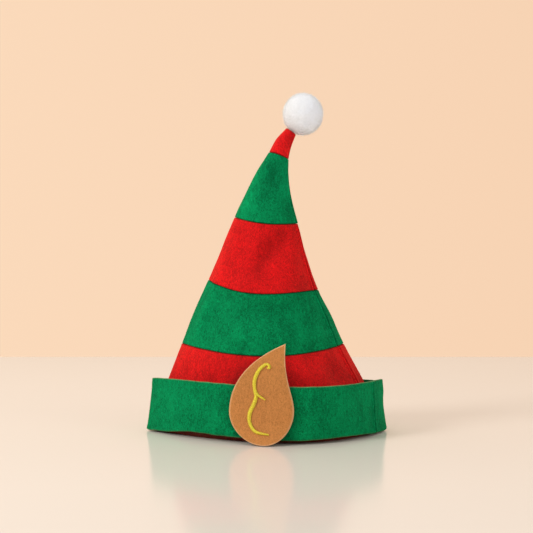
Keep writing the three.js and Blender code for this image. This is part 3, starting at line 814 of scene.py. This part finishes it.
def thread_material(name, colour):
    """Trilobal polyester embroidery thread, whose smooth filaments give each stitch a soft satin gloss."""
    material, tree, shader = new_material(name)
    node = partial(add_node, tree)
    place = node("ShaderNodeTexCoord").outputs["Object"]
    # 0.8 mm tone changes, about two stitches wide
    tones = node("ShaderNodeTexNoise", {"Vector": place, "Scale": 1300.0, "Detail": 2.0})
    ramp = node("ShaderNodeValToRGB", {"Fac": tones})
    set_stops(ramp, (0.3, toned(colour, 0.7)), (0.7, toned(colour, 1.15)))
    tree.links.new(ramp.outputs[0], shader.inputs["Base Color"])
    # The filaments of the thread, drawn 0.17 mm wide so that they show
    filaments = node("ShaderNodeTexNoise", {"Vector": place, "Scale": 6000.0, "Detail": 1.0})
    bump = node("ShaderNodeBump", {"Strength": 0.3, "Distance": 0.05 * MM, "Height": filaments})
    tree.links.new(bump.outputs[0], shader.inputs["Normal"])
    set_sockets(shader, {"Roughness": 0.42, "IOR": 1.55, "Sheen Weight": 0.15, "Sheen Roughness": 0.4})
    return material


def pile_material(name, colour):
    """Acrylic plush, clipped short and dense: bright white that lets light through and is soft in shade."""
    material, tree, shader = new_material(name)
    node = partial(add_node, tree)
    place = node("ShaderNodeTexCoord").outputs["Object"]
    # 3 mm locks of pile
    locks = node("ShaderNodeTexNoise", {
        "Vector": place, "Scale": 330.0, "Detail": 3.0, "Roughness": 0.6,
    })
    ramp = node("ShaderNodeValToRGB", {"Fac": locks})
    set_stops(ramp, (0.32, toned(colour, 0.93)), (0.55, toned(colour, 1.0)))
    tree.links.new(ramp.outputs[0], shader.inputs["Base Color"])
    bump = node("ShaderNodeBump", {"Strength": 0.6, "Distance": 0.9 * MM, "Height": locks})
    tree.links.new(bump.outputs[0], shader.inputs["Normal"])
    set_sockets(shader, {
        "Roughness": 0.9, "IOR": 1.5, "Specular IOR Level": 0.2, "Sheen Weight": 0.3, "Sheen Roughness": 0.6,
        "Subsurface Weight": 0.8, "Subsurface Radius": (1.0, 0.97, 0.95), "Subsurface Scale": 9 * MM,
    })
    return material


def table_material(name, colour):
    """Painted board with a gloss lacquer: pale, faintly uneven in tone, with a soft mirror at low angles."""
    material, tree, shader = new_material(name)
    node = partial(add_node, tree)
    place = node("ShaderNodeTexCoord").outputs["Object"]
    # Tones that change over about 0.8 m
    clouds = node("ShaderNodeTexNoise", {"Vector": place, "Scale": 1.2, "Detail": 2.0})
    ramp = node("ShaderNodeValToRGB", {"Fac": clouds})
    set_stops(ramp, (0.0, toned(colour, 0.97)), (1.0, toned(colour, 1.02)))
    tree.links.new(ramp.outputs[0], shader.inputs["Base Color"])
    set_sockets(shader, {"Roughness": 0.16, "IOR": 1.45, "Specular IOR Level": 0.28})
    return material


# How pale the cut edges are, how patchy and how mottled the felt is, its gloss, its nap's strength and tint
FELTS = {
    "red": (0.2, 0.35, 0.28, 0.12, 0.35, "#ff7a58"),
    "green": (0.25, 0.35, 0.36, 0.04, 0.1, "#1fb07c"),
    "tan": (1.0, 0.2, 0.12, 0.04, 0.12, "#e0b088"),
}
MAKERS = {"yellow": thread_material, "white": pile_material, "table": table_material}
NAMES = {
    "red": "red_craft_felt", "green": "green_craft_felt", "tan": "tan_craft_felt",
    "yellow": "yellow_embroidery_thread", "white": "white_acrylic_plush", "table": "pale_lacquered_table",
}
SLOTS = {
    "red": "red_felt", "green": "green_felt", "tan": "tan_felt",
    "yellow": "yellow_thread", "white": "white_pile",
}


def finish_of(key):
    """The material for one of the hat's colours, made once."""
    material = bpy.data.materials.get(NAMES[key])
    if material:
        return material
    colour = tuple(getattr(hat_colours(), key))
    if key in FELTS:
        return felt_material(NAMES[key], colour, *FELTS[key])
    return MAKERS[key](NAMES[key], colour)


# Felt pieces


def stripe_profile(is_hem, length, sizes):
    """Rows of a felt ring's closed profile: shares of its height, distances from the lower edge (above
    nought) or the upper edge (below it), depth under the outer face, and whether the row shows outside."""
    roll, felt = sizes.seam_roll, sizes.felt
    angles = np.radians((0, 22.5, 45, 67.5, 90))
    shoulder = [(roll * (1 - math.cos(a)), roll * (1 - math.sin(a))) for a in angles]
    rows = []
    if is_hem:
        rows += [(0, 0, 0.3 * MM, 1), (0, 0.3 * MM, 0, 1)]
    else:
        rows += [(0, 0, SEAM_ALLOWANCE, 0), (0, 0, 3 * MM, 0)]
        rows += [(0, distance, depth, 1) for distance, depth in shoulder]
    count = max(3, round(length / sizes.mesh_step))
    rows += [(share, 0, 0, 1) for share in np.linspace(0, 1, count + 2)[1:-1]]
    rows += [(1, -distance, depth, 1) for distance, depth in shoulder[::-1]]
    rows += [(1, 0, 3 * MM, 0), (1, 0, SEAM_ALLOWANCE, 0)]
    rows += [(1, -felt, SEAM_ALLOWANCE, 0), (1, -felt, felt + 0.6 * MM, 0), (1, -felt - 0.6 * MM, felt, 0)]
    rows += [(share, 0, felt, 0) for share in np.linspace(1, 0, count + 2)[1:-1]]
    if is_hem:
        rows += [(0, 0.3 * MM, felt, 0), (0, 0, felt - 0.3 * MM, 0)]
    else:
        rows += [(0, felt + 0.6 * MM, felt, 0), (0, felt, felt + 0.6 * MM, 0), (0, felt, SEAM_ALLOWANCE, 0)]
    return np.array(rows, float)


def stripe_piece(node, first, last, key, seam_turns, sizes):
    """One felt ring of the crown, from its CAD node's two rows of sections."""
    middle = (first + last) / 2
    size = np.linalg.norm(crown_points(0.0, last) - crown_points(0.0, first))
    circumference = ring_lengths(crown_points(FINE_TURNS, np.float64(middle)))[-1]
    low_seam, high_seam = np.radians(seam_turns)
    middle_seam = (low_seam + high_seam) / 2
    turns, from_seam = even_turns(
        lambda turn: crown_points(turn, np.full(turn.shape, middle)),
        max(36, round(circumference / sizes.mesh_step)), middle_seam,
    )
    profile = stripe_profile(first == 0, size, sizes)
    heights = np.linspace(first, last, 13)
    meridians = crown_points(turns[:, None], heights[None, :])
    lengths = np.linalg.norm(np.diff(meridians, axis=1), axis=2).sum(1)
    edge = 0.0 if first == 0 else SEAM_SLIT
    shares = profile[None, :, 0] + profile[None, :, 1] / lengths[:, None]
    shares = np.clip(shares, edge / lengths[:, None], 1 - SEAM_SLIT / lengths[:, None])
    places = first + shares * (last - first)
    # The columns near the back seam lean with it
    seam_lean = (shares - 0.5) * (high_seam - low_seam)
    turn_grid = turns[:, None] + seam_lean * bell(turns - middle_seam, 0.5)[:, None]
    top_room = section("width", float(last)) * HALF_WIDTH / SLANT * TIP_ROOM_SHARE
    inset = np.minimum(profile[None, :, 2], np.where(shares > 0.5, max(top_room, sizes.felt * 1.05), 1.0))
    plain = crown_points(turn_grid, places)
    seams = np.minimum(shares if first else 1.0, 1 - shares) * lengths[:, None]
    pucker = PUCKER * rumple(plain, 6 * MM, 31) * np.exp(-np.abs(seams) / PUCKER_REACH)
    wave = felt_rumple(plain, 3) * (0.35 + 0.65 * np.abs(np.sin(turn_grid)))
    crease, painted_crease_shade = creases_at(turn_grid, plain)
    # The seam draws the felt in less where the crown is narrow
    seam_share = min(1.0, circumference / SEAM_FULL_GIRTH)
    depth = crease + seam_share * back_seam_depth(from_seam)[:, None] - wave - pucker
    calm = np.clip(plain[..., 2] / CALM_HEIGHT, 0, 1) if first == 0 else 1.0
    tuck = hem_tuck(turn_grid, plain[..., 2]) if first == 0 else 0.0
    points = crown_points(turn_grid, places, inset + depth * calm + tuck)
    if first == 0:
        points[..., 2] = np.maximum(points[..., 2], 0)
    # Painted shade in the seams between the rings, the back seam, the creases and beside the ear; painted
    # highlight on their ridges
    shade = SEAM_SHADE * bell(seams, SEAM_SHADE_WIDTH) + seam_share * back_seam_shade(from_seam)[:, None]
    shade = shade + painted_crease_shade + EAR_SHADE * beside_ears(points)
    # Painted shade on the hem where it is tucked under the cuff
    if first == 0:
        shade = shade + np.clip(2 - points[..., 2] / HEM_TUCK_HEIGHT, 0, 1)
    shade = np.clip(shade, LIGHTEST, DARKEST)
    outside = profile[None, :, 3] * np.clip(1 - 2 * shade, 0, 1)
    piece = finished_mesh(
        node + "_felt", points, band_faces(*places.shape), finish_of(key),
        {"fuzzy": outside, "shade": shade, "cut_edge": 0 * outside},
    )
    put_on_hat(piece, SLOTS[key], node)
    return piece


def add_fuzz(piece, key, seed):
    """Loose fibres all over a felt piece, as a piece of their own."""
    sizes = hat_sizes()
    base = new_object(piece.name.replace("_felt", "_fuzz"), piece.data.copy())
    fuzz = with_tree(base, shared_tree(fibre_tree, "fibres_on_surface"), {
        "Density": sizes.fuzz_density, "Length": sizes.fuzz_length, "Thickness": sizes.fuzz_thickness,
        "Lean": 1.35, "Bend": 0.45, "Keep Surface": False, "Seed": seed, "Material": finish_of(key),
    })
    put_on_hat(fuzz, SLOTS[key])
    return fuzz


def path_object(name, points, outs, widths):
    """A bare path of mesh edges whose points carry the attributes that the stitch tree reads."""
    mesh = bpy.data.meshes.new(name)
    mesh.from_pydata(points.tolist(), [(i, i + 1) for i in range(len(points) - 1)], [])
    point_attribute(mesh, "out", outs, "FLOAT_VECTOR", "vector")
    point_attribute(mesh, "width", widths)
    return new_object(name, mesh)


class ELFHAT_OT_crown(bpy.types.Operator):
    """Make the five felt rings of the crown, their fuzz, and the stitches of the seams inside"""

    bl_idname = "elf_hat.crown"
    bl_label = "Crown"

    def execute(self, context):
        sizes = hat_sizes()
        for seed, (node, first, last, key, seam_turns) in enumerate(STRIPES):
            piece = stripe_piece(node, first, last, key, seam_turns, sizes)
            add_fuzz(piece, key, 10 + seed)
        for seed, (node, first, last, key, seam_turns) in enumerate(STRIPES[:3]):
            self.seam_stitches(node, first, last, key, sizes, seed)
        return {"FINISHED"}

    def seam_stitches(self, node, first, last, key, sizes, seed):
        """Running stitches through the seam allowance at the top of one ring, seen from below."""
        turns = np.linspace(0, 2 * math.pi, 361)
        length = np.linalg.norm(crown_points(0.0, last) - crown_points(0.0, first))
        place = last - (last - first) * (sizes.felt + 0.1 * MM) / length
        points = crown_points(turns, np.full(turns.shape, place), SEAM_ALLOWANCE - 1.6 * MM)
        downwards = np.tile((0, 0, -1.0), (len(turns), 1))
        path = path_object(node + "_seam_stitches", points, downwards, np.ones(len(turns)))
        stitches = with_tree(path, shared_tree(stitch_tree, "stitches_on_path"), {
            "Spacing": SEAM_STITCH_SPACING, "Stitch Length": SEAM_STITCH_LENGTH,
            "Thread": SEAM_STITCH_THREAD, "Arch": SEAM_STITCH_ARCH,
            "Slant": math.pi / 2, "Jitter": 0.04, "Seed": seed, "Material": finish_of(key),
        })
        put_on_hat(stitches, SLOTS[key])


class ELFHAT_OT_cuff(bpy.types.Operator):
    """Make the felt cuff that is turned up round the hem"""

    bl_idname = "elf_hat.cuff"
    bl_label = "Cuff"

    def execute(self, context):
        sizes = hat_sizes()
        circumference = ring_lengths(cuff_points(FINE_TURNS, np.full(FINE_TURNS.shape, 0.5)))[-1]
        turns, from_seam = even_turns(
            lambda turn: cuff_points(turn, np.full(turn.shape, 0.5)), round(circumference / sizes.mesh_step),
            CUFF_SEAM_TURN,
        )
        felt, round_off = sizes.felt, 0.4 * MM
        count = round(CUFF_HEIGHT / sizes.mesh_step)
        # share of the height, distance from an edge, depth, and how much of a cut edge the row is
        rows = [(0, 0, 1.5 * MM, 0.3), (0, 0.25 * MM, 0.9 * MM, 0.4), (0, 0.7 * MM, 0.4 * MM, 0.2)]
        rows += [(0, 1.3 * MM, 0.12 * MM, 0)]
        rows += [(share, 0, 0, 0) for share in np.linspace(0, 1, count + 2)[1:-1]]
        rows += [(1, -1.0 * MM, 0, 0), (1, -round_off, 0, 0.5)]
        rows += [(1, 0, round_off, 0.8), (1, 0, felt - round_off, 0.8)]
        rows += [(1, -round_off, felt, 0.3), (1, -1.0 * MM, felt, 0)]
        rows += [(share, 0, felt, 0) for share in np.linspace(1, 0, count + 2)[1:-1]]
        # The foot is thicker, where the felt turns up from the hem and meets the crown
        foot = felt + CUFF_FOOT_DEPTH
        rows += [(0, 1.8 * MM, foot - 0.7 * MM, 0), (0, 0.9 * MM, foot, 0), (0, 0, foot - round_off, 0)]
        rows = np.array(rows, float)
        low, high = cuff_edges(turns)
        share = rows[None, :, 0] + rows[None, :, 1] / (high - low)[:, None]
        turn_grid = np.broadcast_to(turns[:, None], share.shape)
        plain = cuff_points(turn_grid, share)
        wave = felt_rumple(plain, 17) * CUFF_WAVE + CUFF_SWAY * rumple(plain, 34 * MM, 5)
        to_floor = np.clip(plain[..., 2] / CUFF_CALM_HEIGHT, 0, 1)
        # Near the hem the cuff can only be pushed out, and its soft band beside the ear stands proud
        pushed_out = np.maximum(wave, -0.1 * MM) * (0.25 + 0.75 * to_floor)
        depth = back_seam_depth(from_seam)[:, None] * CUFF_SEAM_SHARE - pushed_out
        # The back fold is a little hollow between its rim and its foot
        hollow = CUFF_HOLLOW * bell(share - 0.5, 0.22) * np.clip(np.cos(turn_grid), 0, 1) ** 8
        depth = depth + hollow - self.soft_band(plain, turn_grid)
        edge_wave = CUFF_EDGE_WAVE * rumple(plain * (1, 1, 0), 9 * MM, 23) * (np.abs(share - 0.5) * 2) ** 3
        points = cuff_points(turn_grid, share, rows[None, :, 2] + depth)
        points[..., 2] = np.maximum(points[..., 2] + edge_wave, 0.1 * MM)
        # Painted shade in the back seam and beside the ear, and painted highlight on the seam's ridge
        shade = back_seam_shade(from_seam)[:, None] + EAR_SHADE * beside_ears(points)
        shade = np.clip(shade, LIGHTEST, CUFF_DARKEST)
        clear_of_floor = np.clip((points[..., 2] - 1.2 * MM) / MM, 0, 1)
        outside = np.where(rows[None, :, 2] < felt / 2, 1.0, 0.5)
        outside = outside * np.clip(1 - 2 * shade, 0, 1) * clear_of_floor
        cut = np.broadcast_to(rows[None, :, 3], share.shape)
        piece = finished_mesh(
            "cuff_felt", points, band_faces(*share.shape), finish_of("green"),
            {"fuzzy": outside, "shade": shade, "cut_edge": cut},
        )
        put_on_hat(piece, SLOTS["green"], "cuff")
        add_fuzz(piece, "green", 21)
        return {"FINISHED"}

    def soft_band(self, plain, turn):
        """A broad upright swelling of the cuff behind the near ear, and another on the far side."""
        near = bell(plain[..., 0] - 37 * MM, 9 * MM) * (np.sin(turn) > 0)
        far = bell(plain[..., 0] + 12 * MM, 14 * MM) * (np.sin(turn) < 0)
        return CUFF_BAND * (near + far)


def turns_along_cuff(distance, side):
    """Turns at distances along the cuff from the back fold, on the near side (1) or the far side (-1)."""
    fine = side * np.linspace(0, 1.2 * math.pi, 2001)
    ring = cuff_points(fine, np.full(fine.shape, 0.5)) * (1, 1, 0)
    return np.interp(distance, run_lengths(ring), fine)


def ear_points(side, across, up, out):
    """Points of an ear: across and up from the foot of its middle line, and out from its back face."""
    turn = turns_along_cuff(EAR_FROM_FOLD - across, side)
    height = EAR_ABOVE_FLOOR + up
    low, high = cuff_edges(turn)
    share = (height - low) / (high - low)
    place = cuff_points(turn, share)
    step = 0.02
    along = (cuff_points(turn + step, share) - cuff_points(turn - step, share)) * (1, 1, 0)
    along /= np.linalg.norm(along, axis=-1, keepdims=True)
    outward = np.stack((-along[..., 1], along[..., 0], 0 * along[..., 0]), -1)
    foot_lift = EAR_FOOT_LIFT * np.maximum(0, 1 - up / (EAR_FOOT_SHARE * EAR_HEIGHT)) ** 2
    edge_lift = EAR_EDGE_LIFT * (across / (EAR_WIDTH / 2)) ** 2
    tip_lean = EAR_TIP_LEAN * np.maximum(0, (height - CUFF_HEIGHT) / (EAR_HEIGHT - CUFF_HEIGHT)) ** 2
    place = place + outward * (GAP + edge_lift - tip_lean + out)[..., None]
    place[..., 1] -= side * foot_lift
    place[..., 2] = height
    return place, outward


def cubic_edge(corners, share):
    """Points of an ear's edge, which is two cubic curves, at shares of its length."""
    corners = np.array(corners) * (EAR_WIDTH, EAR_HEIGHT)
    share = np.clip(share, 0, 1)
    samples = np.linspace(0, 1, 101)[:, None]
    curve = np.concatenate([
        (1 - samples) ** 3 * c[0] + 3 * (1 - samples) ** 2 * samples * c[1]
        + 3 * (1 - samples) * samples**2 * c[2] + samples**3 * c[3]
        for c in (corners[:4], corners[3:])
    ])
    lengths = run_lengths(curve)
    where = share * lengths[-1]
    return np.stack((np.interp(where, lengths, curve[:, 0]), np.interp(where, lengths, curve[:, 1])), -1)


def beside_ears(points):
    """How near each point of the crown or cuff lies to the outline of the ear on its side, from 0 to 1: it
    sets the painted shade beside the ears.
    """
    shares = np.linspace(0, 1, 41)
    flat = np.concatenate((cubic_edge(EAR_FRONT_EDGE, shares), cubic_edge(EAR_BACK_EDGE, shares)))
    nearness = np.zeros(points.shape[:-1])
    for side in (1, -1):
        outline, _ = ear_points(side, flat[:, 0], flat[:, 1], np.zeros(len(flat)))
        apart = np.full(nearness.shape, np.inf)
        for spot in outline:
            apart = np.minimum(apart, np.hypot(points[..., 0] - spot[0], points[..., 2] - spot[2]))
        below_tip = np.clip((EAR_HEIGHT - points[..., 2]) / (20 * MM), 0, 1)
        on_side = points[..., 1] * side < 0
        nearness = np.maximum(nearness, bell(apart, EAR_SHADE_WIDTH) * below_tip * on_side)
    return nearness


class ELFHAT_OT_ears(bpy.types.Operator):
    """Make the two felt ear patches on the cuff"""

    bl_idname = "elf_hat.ears"
    bl_label = "Ears"

    def execute(self, context):
        sizes = hat_sizes()
        for label, side in (("near", 1), ("far", -1)):
            piece = self.ear(label, side, sizes)
            add_fuzz(piece, "tan", 30 + side)
        return {"FINISHED"}

    def ear(self, label, side, sizes):
        """A drop of thick felt as two grids from foot to tip, joined round a softly rounded cut edge."""
        rows, columns = round(EAR_HEIGHT / sizes.mesh_step) * 2, round(EAR_WIDTH / sizes.mesh_step)
        shares = 0.5 - 0.5 * np.cos(np.linspace(0, math.pi, rows + 1))
        spread = np.linspace(0, 1, columns + 1)
        front, back = cubic_edge(EAR_FRONT_EDGE, shares), cubic_edge(EAR_BACK_EDGE, shares)
        grid = front[:, None] * (1 - spread)[None, :, None] + back[:, None] * spread[None, :, None]
        outline = np.concatenate((grid[1:-1, 0], grid[-1:, 0], grid[-2:0:-1, -1], grid[:1, 0]))
        middle = np.array((0, EAR_MIDDLE_SHARE * EAR_HEIGHT))
        round_off = EAR_ROUND_OFF

        def pulled_in(flat):
            away = flat - middle
            return flat - away / np.maximum(np.linalg.norm(away, axis=-1, keepdims=True), 1e-6) * round_off

        felt = sizes.felt
        sheets = []
        for flat, out in (
            (pulled_in(grid[1:-1]).reshape(-1, 2), felt),
            (pulled_in(grid[1:-1]).reshape(-1, 2), 0.0),
            (pulled_in(outline[-1:]), felt), (pulled_in(outline[-1:]), 0.0),
            (pulled_in(grid[-1:, 0]), felt), (pulled_in(grid[-1:, 0]), 0.0),
            (outline, felt - round_off), (outline, felt / 2), (outline, round_off),
        ):
            sheets.append(np.column_stack((flat, np.full(len(flat), out))))
        spots = np.concatenate(sheets)
        across, up, out = spots.T
        points, outward = ear_points(side, across, np.maximum(up, 0.1 * MM), out)
        points = points + outward * (EAR_WAVE * felt_rumple(points, 41))[..., None]
        points[..., 2] = np.maximum(points[..., 2], 0.2 * MM)

        faces = self.ear_faces(rows, columns, len(outline))
        if side < 0:
            faces = [face[::-1] for face in faces]
        # The last three loops of points are the cut edge, and the face beside it is paler too
        on_edge = EAR_BORDER_PALENESS * (self.edge_distance(spots[:, :2], outline) < EAR_BORDER)
        on_edge[-3 * len(outline) :] = 1.0
        piece = finished_mesh(
            f"ear_{label}_felt", points, faces, finish_of("tan"),
            {"fuzzy": np.where(out > 0.3 * felt, 1.0, 0.0), "cut_edge": on_edge},
        )
        put_on_hat(piece, SLOTS["tan"], f"ear_{label}")
        return piece

    def ear_faces(self, rows, columns, around):
        """Faces of the front grid, the back grid and the cut edge, whose points follow in that order."""
        inner = (rows - 1) * (columns + 1)
        foot, tip = 2 * inner, 2 * inner + 2
        rings = 2 * inner + 4
        faces = []
        for face in (0, 1):
            def spot(i, j, face=face):
                if i == 0:
                    return foot + face
                if i == rows:
                    return tip + face
                return face * inner + (i - 1) * (columns + 1) + j
            for i in range(rows):
                for j in range(columns):
                    corners = [spot(i, j), spot(i, j + 1), spot(i + 1, j + 1), spot(i + 1, j)]
                    corners = [c for n, c in enumerate(corners) if c not in corners[:n]]
                    faces.append(corners if face == 0 else corners[::-1])
            # The outline's points in the order of the rings, as points of this face
            border = [spot(i, 0) for i in range(1, rows)] + [spot(rows, 0)]
            border += [spot(i, columns) for i in range(rows - 1, 0, -1)] + [spot(0, 0)]
            ring = rings if face == 0 else rings + 2 * around
            for n in range(around):
                m = (n + 1) % around
                quad = [border[n], border[m], ring + m, ring + n]
                faces.append(quad[::-1] if face == 1 else quad)
        for level in (0, 1):
            for n in range(around):
                m = (n + 1) % around
                a, b = rings + level * around, rings + (level + 1) * around
                faces.append([a + n, a + m, b + m, b + n])
        return faces

    def edge_distance(self, spots, outline):
        """How far each spot lies from the nearest point of the outline."""
        return np.array([np.hypot(*(outline - spot).T).min() for spot in spots])


def smooth_path(corners, widths, steps):
    """A smooth run of places and widths through a table of them, both as arrays."""
    corners = np.array(corners, float) * (EAR_WIDTH, EAR_HEIGHT)
    place = np.linspace(0, len(corners) - 1, steps)
    line = np.stack((smooth_value(corners[:, 0], place), smooth_value(corners[:, 1], place)), -1)
    return line, smooth_value(widths, place)


class ELFHAT_OT_embroidery(bpy.types.Operator):
    """Make the satin-stitched line on each ear"""

    bl_idname = "elf_hat.embroidery"
    bl_label = "Embroidery"

    def execute(self, context):
        for label, side in (("near", 1), ("far", -1)):
            line = self.stroke(f"ear_{label}_line", side, EMBROIDERY_LINE, LINE_WIDTHS, 160)
            branch = self.stroke(f"ear_{label}_branch", side, EMBROIDERY_BRANCH, BRANCH_WIDTHS, 30)
            put_on_hat(line, SLOTS["yellow"], f"ear_{label}_embroidery")
            put_on_hat(branch, SLOTS["yellow"])
        return {"FINISHED"}

    def stroke(self, name, side, corners, widths, steps):
        sizes = hat_sizes()
        flat, widths = smooth_path(corners, widths, steps)
        points, outs = ear_points(side, flat[:, 0], flat[:, 1], np.full(steps, sizes.felt + STITCH_LIFT))
        path = path_object(name, points, outs, widths)
        return with_tree(path, shared_tree(stitch_tree, "stitches_on_path"), {
            "Spacing": sizes.stitch_spacing, "Stitch Length": sizes.embroidery_width, "Thread": sizes.thread,
            "Arch": SATIN_ARCH, "Slant": SATIN_SLANT * side, "Jitter": SATIN_JITTER, "Seed": 5 + side,
            "Material": finish_of("yellow"),
        })


class ELFHAT_OT_pompom(bpy.types.Operator):
    """Make the plush pompom on the tip"""

    bl_idname = "elf_hat.pompom"
    bl_label = "Pompom"

    def execute(self, context):
        sizes = hat_sizes()
        last = float(len(CROWN_SECTIONS) - 1)
        ends = crown_points(np.array((math.pi, 0.0)), np.full(2, last))
        end = ends.mean(0)
        axis = (ends[1] - ends[0]) / np.linalg.norm(ends[1] - ends[0])
        direction = np.array((-axis[2], 0, axis[0]))
        stretch = POMPOM_HEIGHT / POMPOM_WIDTH
        radius = POMPOM_WIDTH / 2
        reach = 1 / math.hypot(direction[0] / radius, direction[2] / (radius * stretch))
        centre = end + direction * (reach - POMPOM_OVERLAP)
        core = self.core(radius - sizes.pile_length * PILE_SHARE_INSIDE, stretch, centre, end, direction)
        area = 4 * math.pi * radius**2
        piece = with_tree(core, shared_tree(fibre_tree, "fibres_on_surface"), {
            "Density": sizes.pile_count / area, "Length": sizes.pile_length,
            "Thickness": sizes.pile_thickness, "Lean": 0.5, "Bend": 0.35, "Keep Surface": True, "Seed": 4,
            "Material": finish_of("white"),
        })
        put_on_hat(piece, SLOTS["white"], "pompom")
        return {"FINISHED"}

    def core(self, radius, stretch, centre, end, direction):
        """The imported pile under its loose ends: a lumpy ball with a flat seat for the tip."""
        rings, columns = POMPOM_RINGS, POMPOM_COLUMNS
        polar = np.linspace(0, math.pi, rings + 1)[1:-1]
        turn = np.linspace(0, 2 * math.pi, columns + 1)[:-1]
        p, t = np.meshgrid(polar, turn, indexing="ij")
        ball = np.stack((np.sin(p) * np.cos(t), np.sin(p) * np.sin(t), np.cos(p)), -1).reshape(-1, 3)
        ball = np.vstack((ball, (0, 0, 1), (0, 0, -1)))
        lumps = 0.3 * MM * rumple(ball * radius, 4 * MM, 51) + 0.35 * MM * rumple(ball * radius, 11 * MM, 57)
        points = centre + ball * (radius + lumps)[:, None] * (1, 1, stretch)
        height = (points - end) @ direction
        aside = np.linalg.norm(points - end - height[:, None] * direction, axis=1)
        seat = np.maximum(0, POMPOM_SEAT_GAP - height) * (aside < POMPOM_SEAT_WIDTH)
        points = points + seat[:, None] * direction
        faces = []
        for i in range(rings - 2):
            for j in range(columns):
                k = (j + 1) % columns
                faces.append((i * columns + j, (i + 1) * columns + j, (i + 1) * columns + k, i * columns + k))
        top, bottom, low = len(ball) - 2, len(ball) - 1, (rings - 2) * columns
        for j in range(columns):
            k = (j + 1) % columns
            faces.append((top, j, k))
            faces.append((bottom, low + k, low + j))
        fuzzy = np.ones(len(points))
        return finished_mesh("pompom_pile", points, faces, finish_of("white"), {"fuzzy": fuzzy})


class ELFHAT_OT_stage(bpy.types.Operator):
    """Make the table, the backdrop, the lights and the camera"""

    bl_idname = "elf_hat.stage"
    bl_label = "Stage"

    def execute(self, context):
        self.table()
        self.backdrop(context.scene)
        for name, place, aim, size, power, colour in SOFT_LIGHTS:
            light = self.lamp("AREA", name, place, aim, power, colour)
            light.shape = "DISK"
            light.size = size
        snoot = self.lamp("SPOT", *SNOOT)
        snoot.spot_size = SNOOT_ANGLE
        snoot.spot_blend = SNOOT_BLEND
        snoot.shadow_soft_size = SNOOT_RADIUS
        self.camera(context.scene)
        return {"FINISHED"}

    def table(self):
        half = TABLE_SIZE / 2
        near = TABLE_FAR_EDGE - TABLE_SIZE
        corners = [(-half, near, -FLOOR_DROP), (half, near, -FLOOR_DROP),
                   (half, TABLE_FAR_EDGE, -FLOOR_DROP), (-half, TABLE_FAR_EDGE, -FLOOR_DROP)]
        table = finished_mesh("table", np.array(corners), [(0, 1, 2, 3)], finish_of("table"))

    def backdrop(self, scene):
        """A studio that is warm all round at the height of the table, and neutral and dimmer above."""
        scene.view_settings.view_transform = "Standard"
        world = bpy.data.worlds.new("warm_studio")
        world.use_nodes = True
        tree = world.node_tree
        node = partial(add_node, tree)
        warm = tuple(hat_colours().backdrop)
        direction = node("ShaderNodeTexCoord").outputs["Generated"]
        parts = node("ShaderNodeSeparateXYZ", {0: direction})
        sideways = node("ShaderNodeMapRange", {0: parts, 1: -0.25, 2: 0.25})
        wall = node("ShaderNodeMix", {
            "Factor": sideways, 6: toned(warm, 1.0), 7: linear(BACKDROP_RIGHT) + (1.0,),
        }, data_type="RGBA")
        to_wall = node("ShaderNodeMapRange", {0: parts.outputs[1], 1: 0.2, 2: 0.75})
        round_about = node("ShaderNodeMix", {
            "Factor": to_wall, 6: STUDIO_FRONT, 7: wall.outputs[2],
        }, data_type="RGBA")
        upwards = node("ShaderNodeMapRange", {0: parts.outputs[2], 1: 0.3, 2: 0.5})
        sky = node("ShaderNodeMix", {
            "Factor": upwards, 6: round_about.outputs[2], 7: STUDIO_SKY,
        }, data_type="RGBA")
        background = tree.nodes["Background"]
        tree.links.new(sky.outputs[2], background.inputs["Color"])
        scene.world = world

    def aimed(self, name, data, place, aim):
        """An object at a place that looks at its aim, as lights and cameras do."""
        item = new_object(name, data)
        item.location = place
        item.rotation_euler = (Vector(aim) - Vector(place)).to_track_quat("-Z", "Y").to_euler()
        return item

    def lamp(self, kind, name, place, aim, power, colour):
        """A light of that kind. Returns its data."""
        light = bpy.data.lights.new(name, kind)
        light.energy = power
        light.color = linear(colour)
        self.aimed(name, light, place, aim)
        return light

    def camera(self, scene):
        data = bpy.data.cameras.new("photo_camera")
        data.lens = CAMERA_LENS
        data.sensor_width = CAMERA_SENSOR
        data.clip_start = CAMERA_CLIP_START
        scene.camera = self.aimed("photo_camera", data, CAMERA_PLACE, CAMERA_AIM)


class ELFHAT_PT_pieces(bpy.types.Panel):
    """The hat's pieces and their sizes, in the 3D view's sidebar"""

    bl_label = "Elf hat"
    bl_idname = "ELFHAT_PT_pieces"
    bl_space_type = "VIEW_3D"
    bl_region_type = "UI"
    bl_category = "Elf hat"

    def draw(self, context):
        column = self.layout.column()
        for operator in OPERATORS:
            column.operator(operator.bl_idname)
        for settings in (context.scene.elf_hat_sizes, context.scene.elf_hat_colours):
            for name in settings.bl_rna.properties.keys():
                if name not in {"rna_type", "name"}:
                    column.prop(settings, name)


OPERATORS = (
    ELFHAT_OT_stage,
    ELFHAT_OT_crown,
    ELFHAT_OT_cuff,
    ELFHAT_OT_ears,
    ELFHAT_OT_embroidery,
    ELFHAT_OT_pompom,
)
CLASSES = (ElfHatSizes, ElfHatColours, *OPERATORS, ELFHAT_PT_pieces)


def register():
    for cls in CLASSES:
        bpy.utils.register_class(cls)
    bpy.types.Scene.elf_hat_sizes = bpy.props.PointerProperty(type=ElfHatSizes)
    bpy.types.Scene.elf_hat_colours = bpy.props.PointerProperty(type=ElfHatColours)


def unregister():
    del bpy.types.Scene.elf_hat_colours
    del bpy.types.Scene.elf_hat_sizes
    for cls in reversed(CLASSES):
        bpy.utils.unregister_class(cls)


def main():
    register()
    bpy.ops.elf_hat.stage()
    bpy.ops.elf_hat.crown()
    bpy.ops.elf_hat.cuff()
    bpy.ops.elf_hat.ears()
    bpy.ops.elf_hat.embroidery()
    bpy.ops.elf_hat.pompom()


if __name__ == "__main__":
    main()
